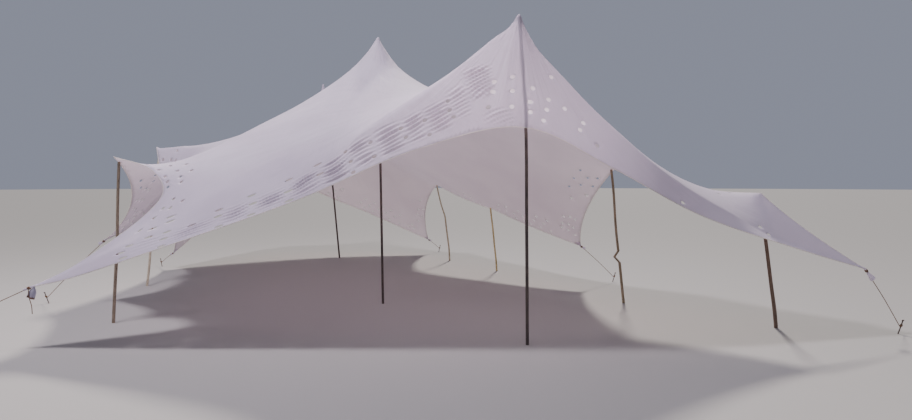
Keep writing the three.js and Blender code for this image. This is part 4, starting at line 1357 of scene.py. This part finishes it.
class TENT_OT_masts(bpy.types.Operator):
    """Adds the three painted steel masts"""
    bl_idname = "tent.masts"
    bl_label = "Masts"

    def execute(self, context):
        paint = shared("steel_tube_painted_dark_brown", painted_steel)
        for name, (foot, top, radius) in MASTS.items():
            base = np.array([*foot, 0]) + ORIGIN
            reach = (top[0] - foot[0], top[1] - foot[1])
            bows = MAST_BOWS.get(name, {})
            mast = round_bar(f"{name}_tube", base, radius, top[2] - MAST_UNDER_PEAK, 30, radius * 0.8)
            lean_bar(mast, base, lambda level: (
                (reach[0] * level / top[2] + bow_at(bows, level / top[2]), reach[1] * level / top[2]), 1.0))
            mast.data.materials.append(paint)
            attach(mast, "root")
            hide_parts(name)
        return {"FINISHED"}


class TENT_OT_side_poles(bpy.types.Operator):
    """Adds the six timber side poles"""
    bl_idname = "tent.side_poles"
    bl_label = "Side poles"

    def execute(self, context):
        settings = context.scene.tent_poles
        for seed, (name, (foot, top, radius)) in enumerate(SIDE_POLES.items()):
            colour, bow = TIMBER[name]
            base = np.array([*foot, 0]) + ORIGIN
            high = head_under_fabric(np.array(top) + ORIGIN, radius * (1 - settings.taper))
            pole = round_bar(f"{name}_timber", base, radius, high, 22, radius * 0.7)
            random = np.random.default_rng(seed + 40)
            swells = random.uniform(-1, 1, (4, 3))

            def shape(level):
                share = level / top[2]
                sway = settings.bow * bow_at(bow, share)
                wave = [POLE_WAVE * sum(s[k] * math.sin((i + 2) * math.pi * share)
                                    for i, s in enumerate(swells)) for k in (0, 1)]
                size = 1 + POLE_SWELL * sum(s[2] * math.sin((i * 3 + 4) * share) for i, s in enumerate(swells))
                return ([(top[0] - foot[0]) * share + sway + wave[0], (top[1] - foot[1]) * share + wave[1]],
                        size * (1 - settings.taper * share))

            lean_bar(pole, base, shape)
            # Pale and yellowish poles carry painted sunlight, dark poles painted shade, over the wood's colour.
            pole.data.materials.append(peeled_timber(f"gum_pole_peeled_painted_sun_and_shade_{name}", colour))
            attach(pole, "root")
            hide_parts(name)
        return {"FINISHED"}


def gathered_corner(name, edge, cloth):
    """Makes a corner's gathered end. Returns the line through it and the way up square to the fabric."""
    tip, direction, _, outward = corner_line(name)
    reach, flare, stand = GATHERED_ENDS[name]
    nearest = np.linalg.norm(edge.places - tip, axis=1).argmin()
    arms = [unit(edge.at(edge.along[nearest] + step)[0] - tip) for step in (0.25, -0.25)]
    inward = unit(arms[0] + arms[1])
    half = math.acos(max(min(float(arms[0] @ inward), 1), -1))
    flat_up = np.cross(arms[0], arms[1])
    flat_up *= math.copysign(1, flat_up[2]) / np.linalg.norm(flat_up)
    neck = tip + direction * NECK_REACH
    away = direction + outward * stand
    away *= (reach - NECK_REACH) / np.linalg.norm(away)
    stops = [tip + inward * GATHER_START, tip + inward * 0.05, tip, neck, neck + away * 0.6, neck + away]
    line = smooth_line(stops, 0.005)
    far = steps_of(line).sum()
    turn = np.linspace(0, 2 * math.pi, GATHER_SIDES, endpoint=False)
    # Half the width and half the height of the gathered fabric at some distances along the line.
    wide = [GATHER_START * math.tan(half), 0.05 * math.tan(half) + 0.003, 0.015, 0.012, 0.012,
            flare * 0.8, flare]
    high = [0.003, 0.008, 0.013, 0.012, 0.012, flare * 0.65, flare * 0.85]
    at = [0, GATHER_START - 0.05, GATHER_START, GATHER_START + NECK[0], GATHER_START + NECK[1],
          GATHER_START + (far - GATHER_START) * 0.78, far]

    def section(along):
        w, h = np.interp(along, at, wide)[:, None], np.interp(along, at, high)[:, None]
        depth = np.interp(along, at, [0, 0.06, 0.14, 0.10, 0.10, 0.22, 0.32])[:, None]
        pleat = 1 - depth * (0.5 + 0.5 * np.cos(PLEATS * turn + 6 * np.sin(along[:, None] * 9)))
        return w * pleat * np.cos(turn), h * pleat * np.sin(turn)

    gather = add_tube(f"{name}_gathered_corner", line, section, cloth, "fabric", up=flat_up)
    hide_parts(f"{name}_knot")
    return line, flat_up


def folded_flap(tip):
    """Makes the folded flap that hangs at the front left tip."""
    turn = np.linspace(0, 2 * math.pi, GATHER_SIDES, endpoint=False)
    drop = smooth_line([tip + np.array(step) for step in FOLDED_FLAP], 0.004)

    def fold(along):
        share = (along / along[-1])[:, None]
        w = 0.012 + 0.034 * smooth_step(share, 0.0, 0.45)
        crease = 0.012 * np.cos(3 * turn + 2.5 * share) * smooth_step(share, 0.05, 0.5)
        return w * np.cos(turn), (0.006 + 0.004 * share) * np.sin(turn) + crease

    flap = add_tube("front_left_folded_flap", drop, fold, folded_layers(), "fabric", up=(0, 1, 0))


def lashing(name, line, flat_up, fibre, settings):
    """Makes the turns of rope round a gathered corner's neck."""
    first, last = (GATHER_START + place for place in NECK)
    share = np.linspace(0, 1, settings.lashing_turns * 20)
    spots = place_at(first + (last - first) * share, distances(line), line)
    _, side, above = frames_along(spots, flat_up)
    angle = 2 * math.pi * settings.lashing_turns * share[:, None]
    thin = settings.radius * LASHING_SHARE
    coil = spots + (side * np.cos(angle) + above * np.sin(angle)) * (NECK_RADIUS + thin)
    add_tube(f"{name}_lashing", coil, laid_rope(thin, 9), fibre, "rope")


def guy_rope(name, fibre, radius):
    """Makes the taut rope from a corner to its peg, with three turns round the peg."""
    tip, direction, tie, outward = corner_line(name)
    share = np.linspace(0, 1, 70)[:, None]
    lean = outward * PEG_LEAN / PEG_HEIGHT
    across = np.cross(outward, [0, 0, 1])
    wound = tie + (outward * -np.cos(6 * math.pi * share) + across * np.sin(6 * math.pi * share)) * (
        PEG_RADIUS + radius) + ([0, 0, 1] + lean) * (0.026 * (share - 0.5))
    guy = smooth_line([tip + direction * 0.050, tip + direction * 0.12, tip + direction * 0.5 *
                       np.linalg.norm(tie - tip), wound[0] - direction * 0.02], 0.003)
    rope = add_tube(f"{name}_guy", np.concatenate([guy, wound]), laid_rope(radius), fibre, "rope")
    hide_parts(f"{name}_rope")


class TENT_OT_corners(bpy.types.Operator):
    """Adds the gathered corners, their lashings and the guy ropes"""
    bl_idname = "tent.corners"
    bl_label = "Corners and ropes"

    def execute(self, context):
        settings = context.scene.tent_ropes
        fibre = shared("sisal_rope_three_strand", laid_rope_fibre)
        cloth = bpy.data.objects["canopy"].data.materials[0]
        edge = EdgeLine(canopy_curves(named_points()))
        for name, (tip, _) in CORNERS.items():
            line, flat_up = gathered_corner(name, edge, cloth)
            if name == "front_left":
                folded_flap(np.array(tip))
            lashing(name, line, flat_up, fibre, settings)
            guy_rope(name, fibre, settings.radius)
        return {"FINISHED"}


class TENT_OT_pegs(bpy.types.Operator):
    """Adds the six ground pegs, one made and copied"""
    bl_idname = "tent.pegs"
    bl_label = "Pegs"

    def execute(self, context):
        first = round_bar("ground_peg", (0, 0), PEG_RADIUS, PEG_HEIGHT, 5, 0.001, 16)
        bpy.ops.mesh.select_mode(type="FACE")
        bpy.ops.mesh.select_all(action="DESELECT")
        mesh = bmesh.from_edit_mesh(first.data)
        for face in mesh.faces:
            face.select = face.normal.z > 0.99
        bmesh.update_edit_mesh(first.data)
        for value, size in (((0, 0, 0), PEG_HEAD_SHARE), ((0, 0, PEG_HEAD), 1.0)):
            bpy.ops.mesh.extrude_region_move(TRANSFORM_OT_translate={"value": value})
            bpy.ops.transform.resize(value=(size, size, 1), center_override=(0, 0, PEG_HEIGHT))
        select_corners(first, lambda place: place.z > PEG_HEIGHT + PEG_HEAD / 2)
        bpy.ops.mesh.bevel(offset=0.004, segments=3, affect="EDGES")
        lean_bar(first, (0, 0), lambda level: ((PEG_LEAN * level / PEG_HEIGHT, 0), 1.0))
        first.data.materials.append(forged_peg_steel())
        for name, (_, peg) in CORNERS.items():
            _, _, _, outward = corner_line(name)
            copy = bpy.data.objects.new(f"{name}_ground_peg", first.data.copy())
            context.scene.collection.objects.link(copy)
            place = Matrix.Translation(Vector((peg[0] + ORIGIN[0], peg[1] + ORIGIN[1], 0)))
            copy.data.transform(place @ Matrix.Rotation(math.atan2(outward[1], outward[0]), 4, "Z"))
            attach(copy, "root")
            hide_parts(f"{name}_peg")
        bpy.data.objects.remove(first)
        return {"FINISHED"}


class TENT_OT_declare_canopy(bpy.types.Operator):
    bl_idname = "tent.declare_canopy"
    bl_label = "Declare canopy"

    def execute(self, context):
        return {"FINISHED"}


class TENT_PT_panel(bpy.types.Panel):
    """Lists the tent's pieces and their settings"""
    bl_idname = "TENT_PT_panel"
    bl_label = "Stretch tent"
    bl_space_type = "VIEW_3D"
    bl_region_type = "UI"
    bl_category = "Stretch Tent"

    def draw(self, context):
        for operator in OPERATORS:
            self.layout.operator(operator.bl_idname)
        for group_name, group in SETTINGS.items():
            box = self.layout.box()
            for name in group.__annotations__:
                box.prop(getattr(context.scene, group_name), name)


OPERATORS = [
    TENT_OT_stage, TENT_OT_rope_end, TENT_OT_canopy, TENT_OT_hem, TENT_OT_masts, TENT_OT_side_poles,
    TENT_OT_corners, TENT_OT_pegs, TENT_OT_declare_canopy,
]
SETTINGS = {
    "tent_stage": TentStageSettings, "tent_canopy": TentCanopySettings, "tent_poles": TentPoleSettings,
    "tent_ropes": TentRopeSettings,
}


def register():
    for made in [*SETTINGS.values(), *OPERATORS, TENT_PT_panel]:
        bpy.utils.register_class(made)
    for name, group in SETTINGS.items():
        setattr(bpy.types.Scene, name, PointerProperty(type=group))


def unregister():
    for name in SETTINGS:
        delattr(bpy.types.Scene, name)
    for made in reversed([*SETTINGS.values(), *OPERATORS, TENT_PT_panel]):
        bpy.utils.unregister_class(made)


def main():
    register()
    bpy.ops.tent.stage()
    bpy.ops.tent.rope_end()
    bpy.ops.tent.canopy()
    bpy.ops.tent.hem()
    bpy.ops.tent.masts()
    bpy.ops.tent.side_poles()
    bpy.ops.tent.corners()
    bpy.ops.tent.pegs()
    bpy.ops.tent.declare_canopy()
    boxes = {"cad": CAD_BOX, "visual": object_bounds()}
    {name: [list(corner) for corner in box] for name, box in boxes.items()}


if __name__ == "__main__":
    main()
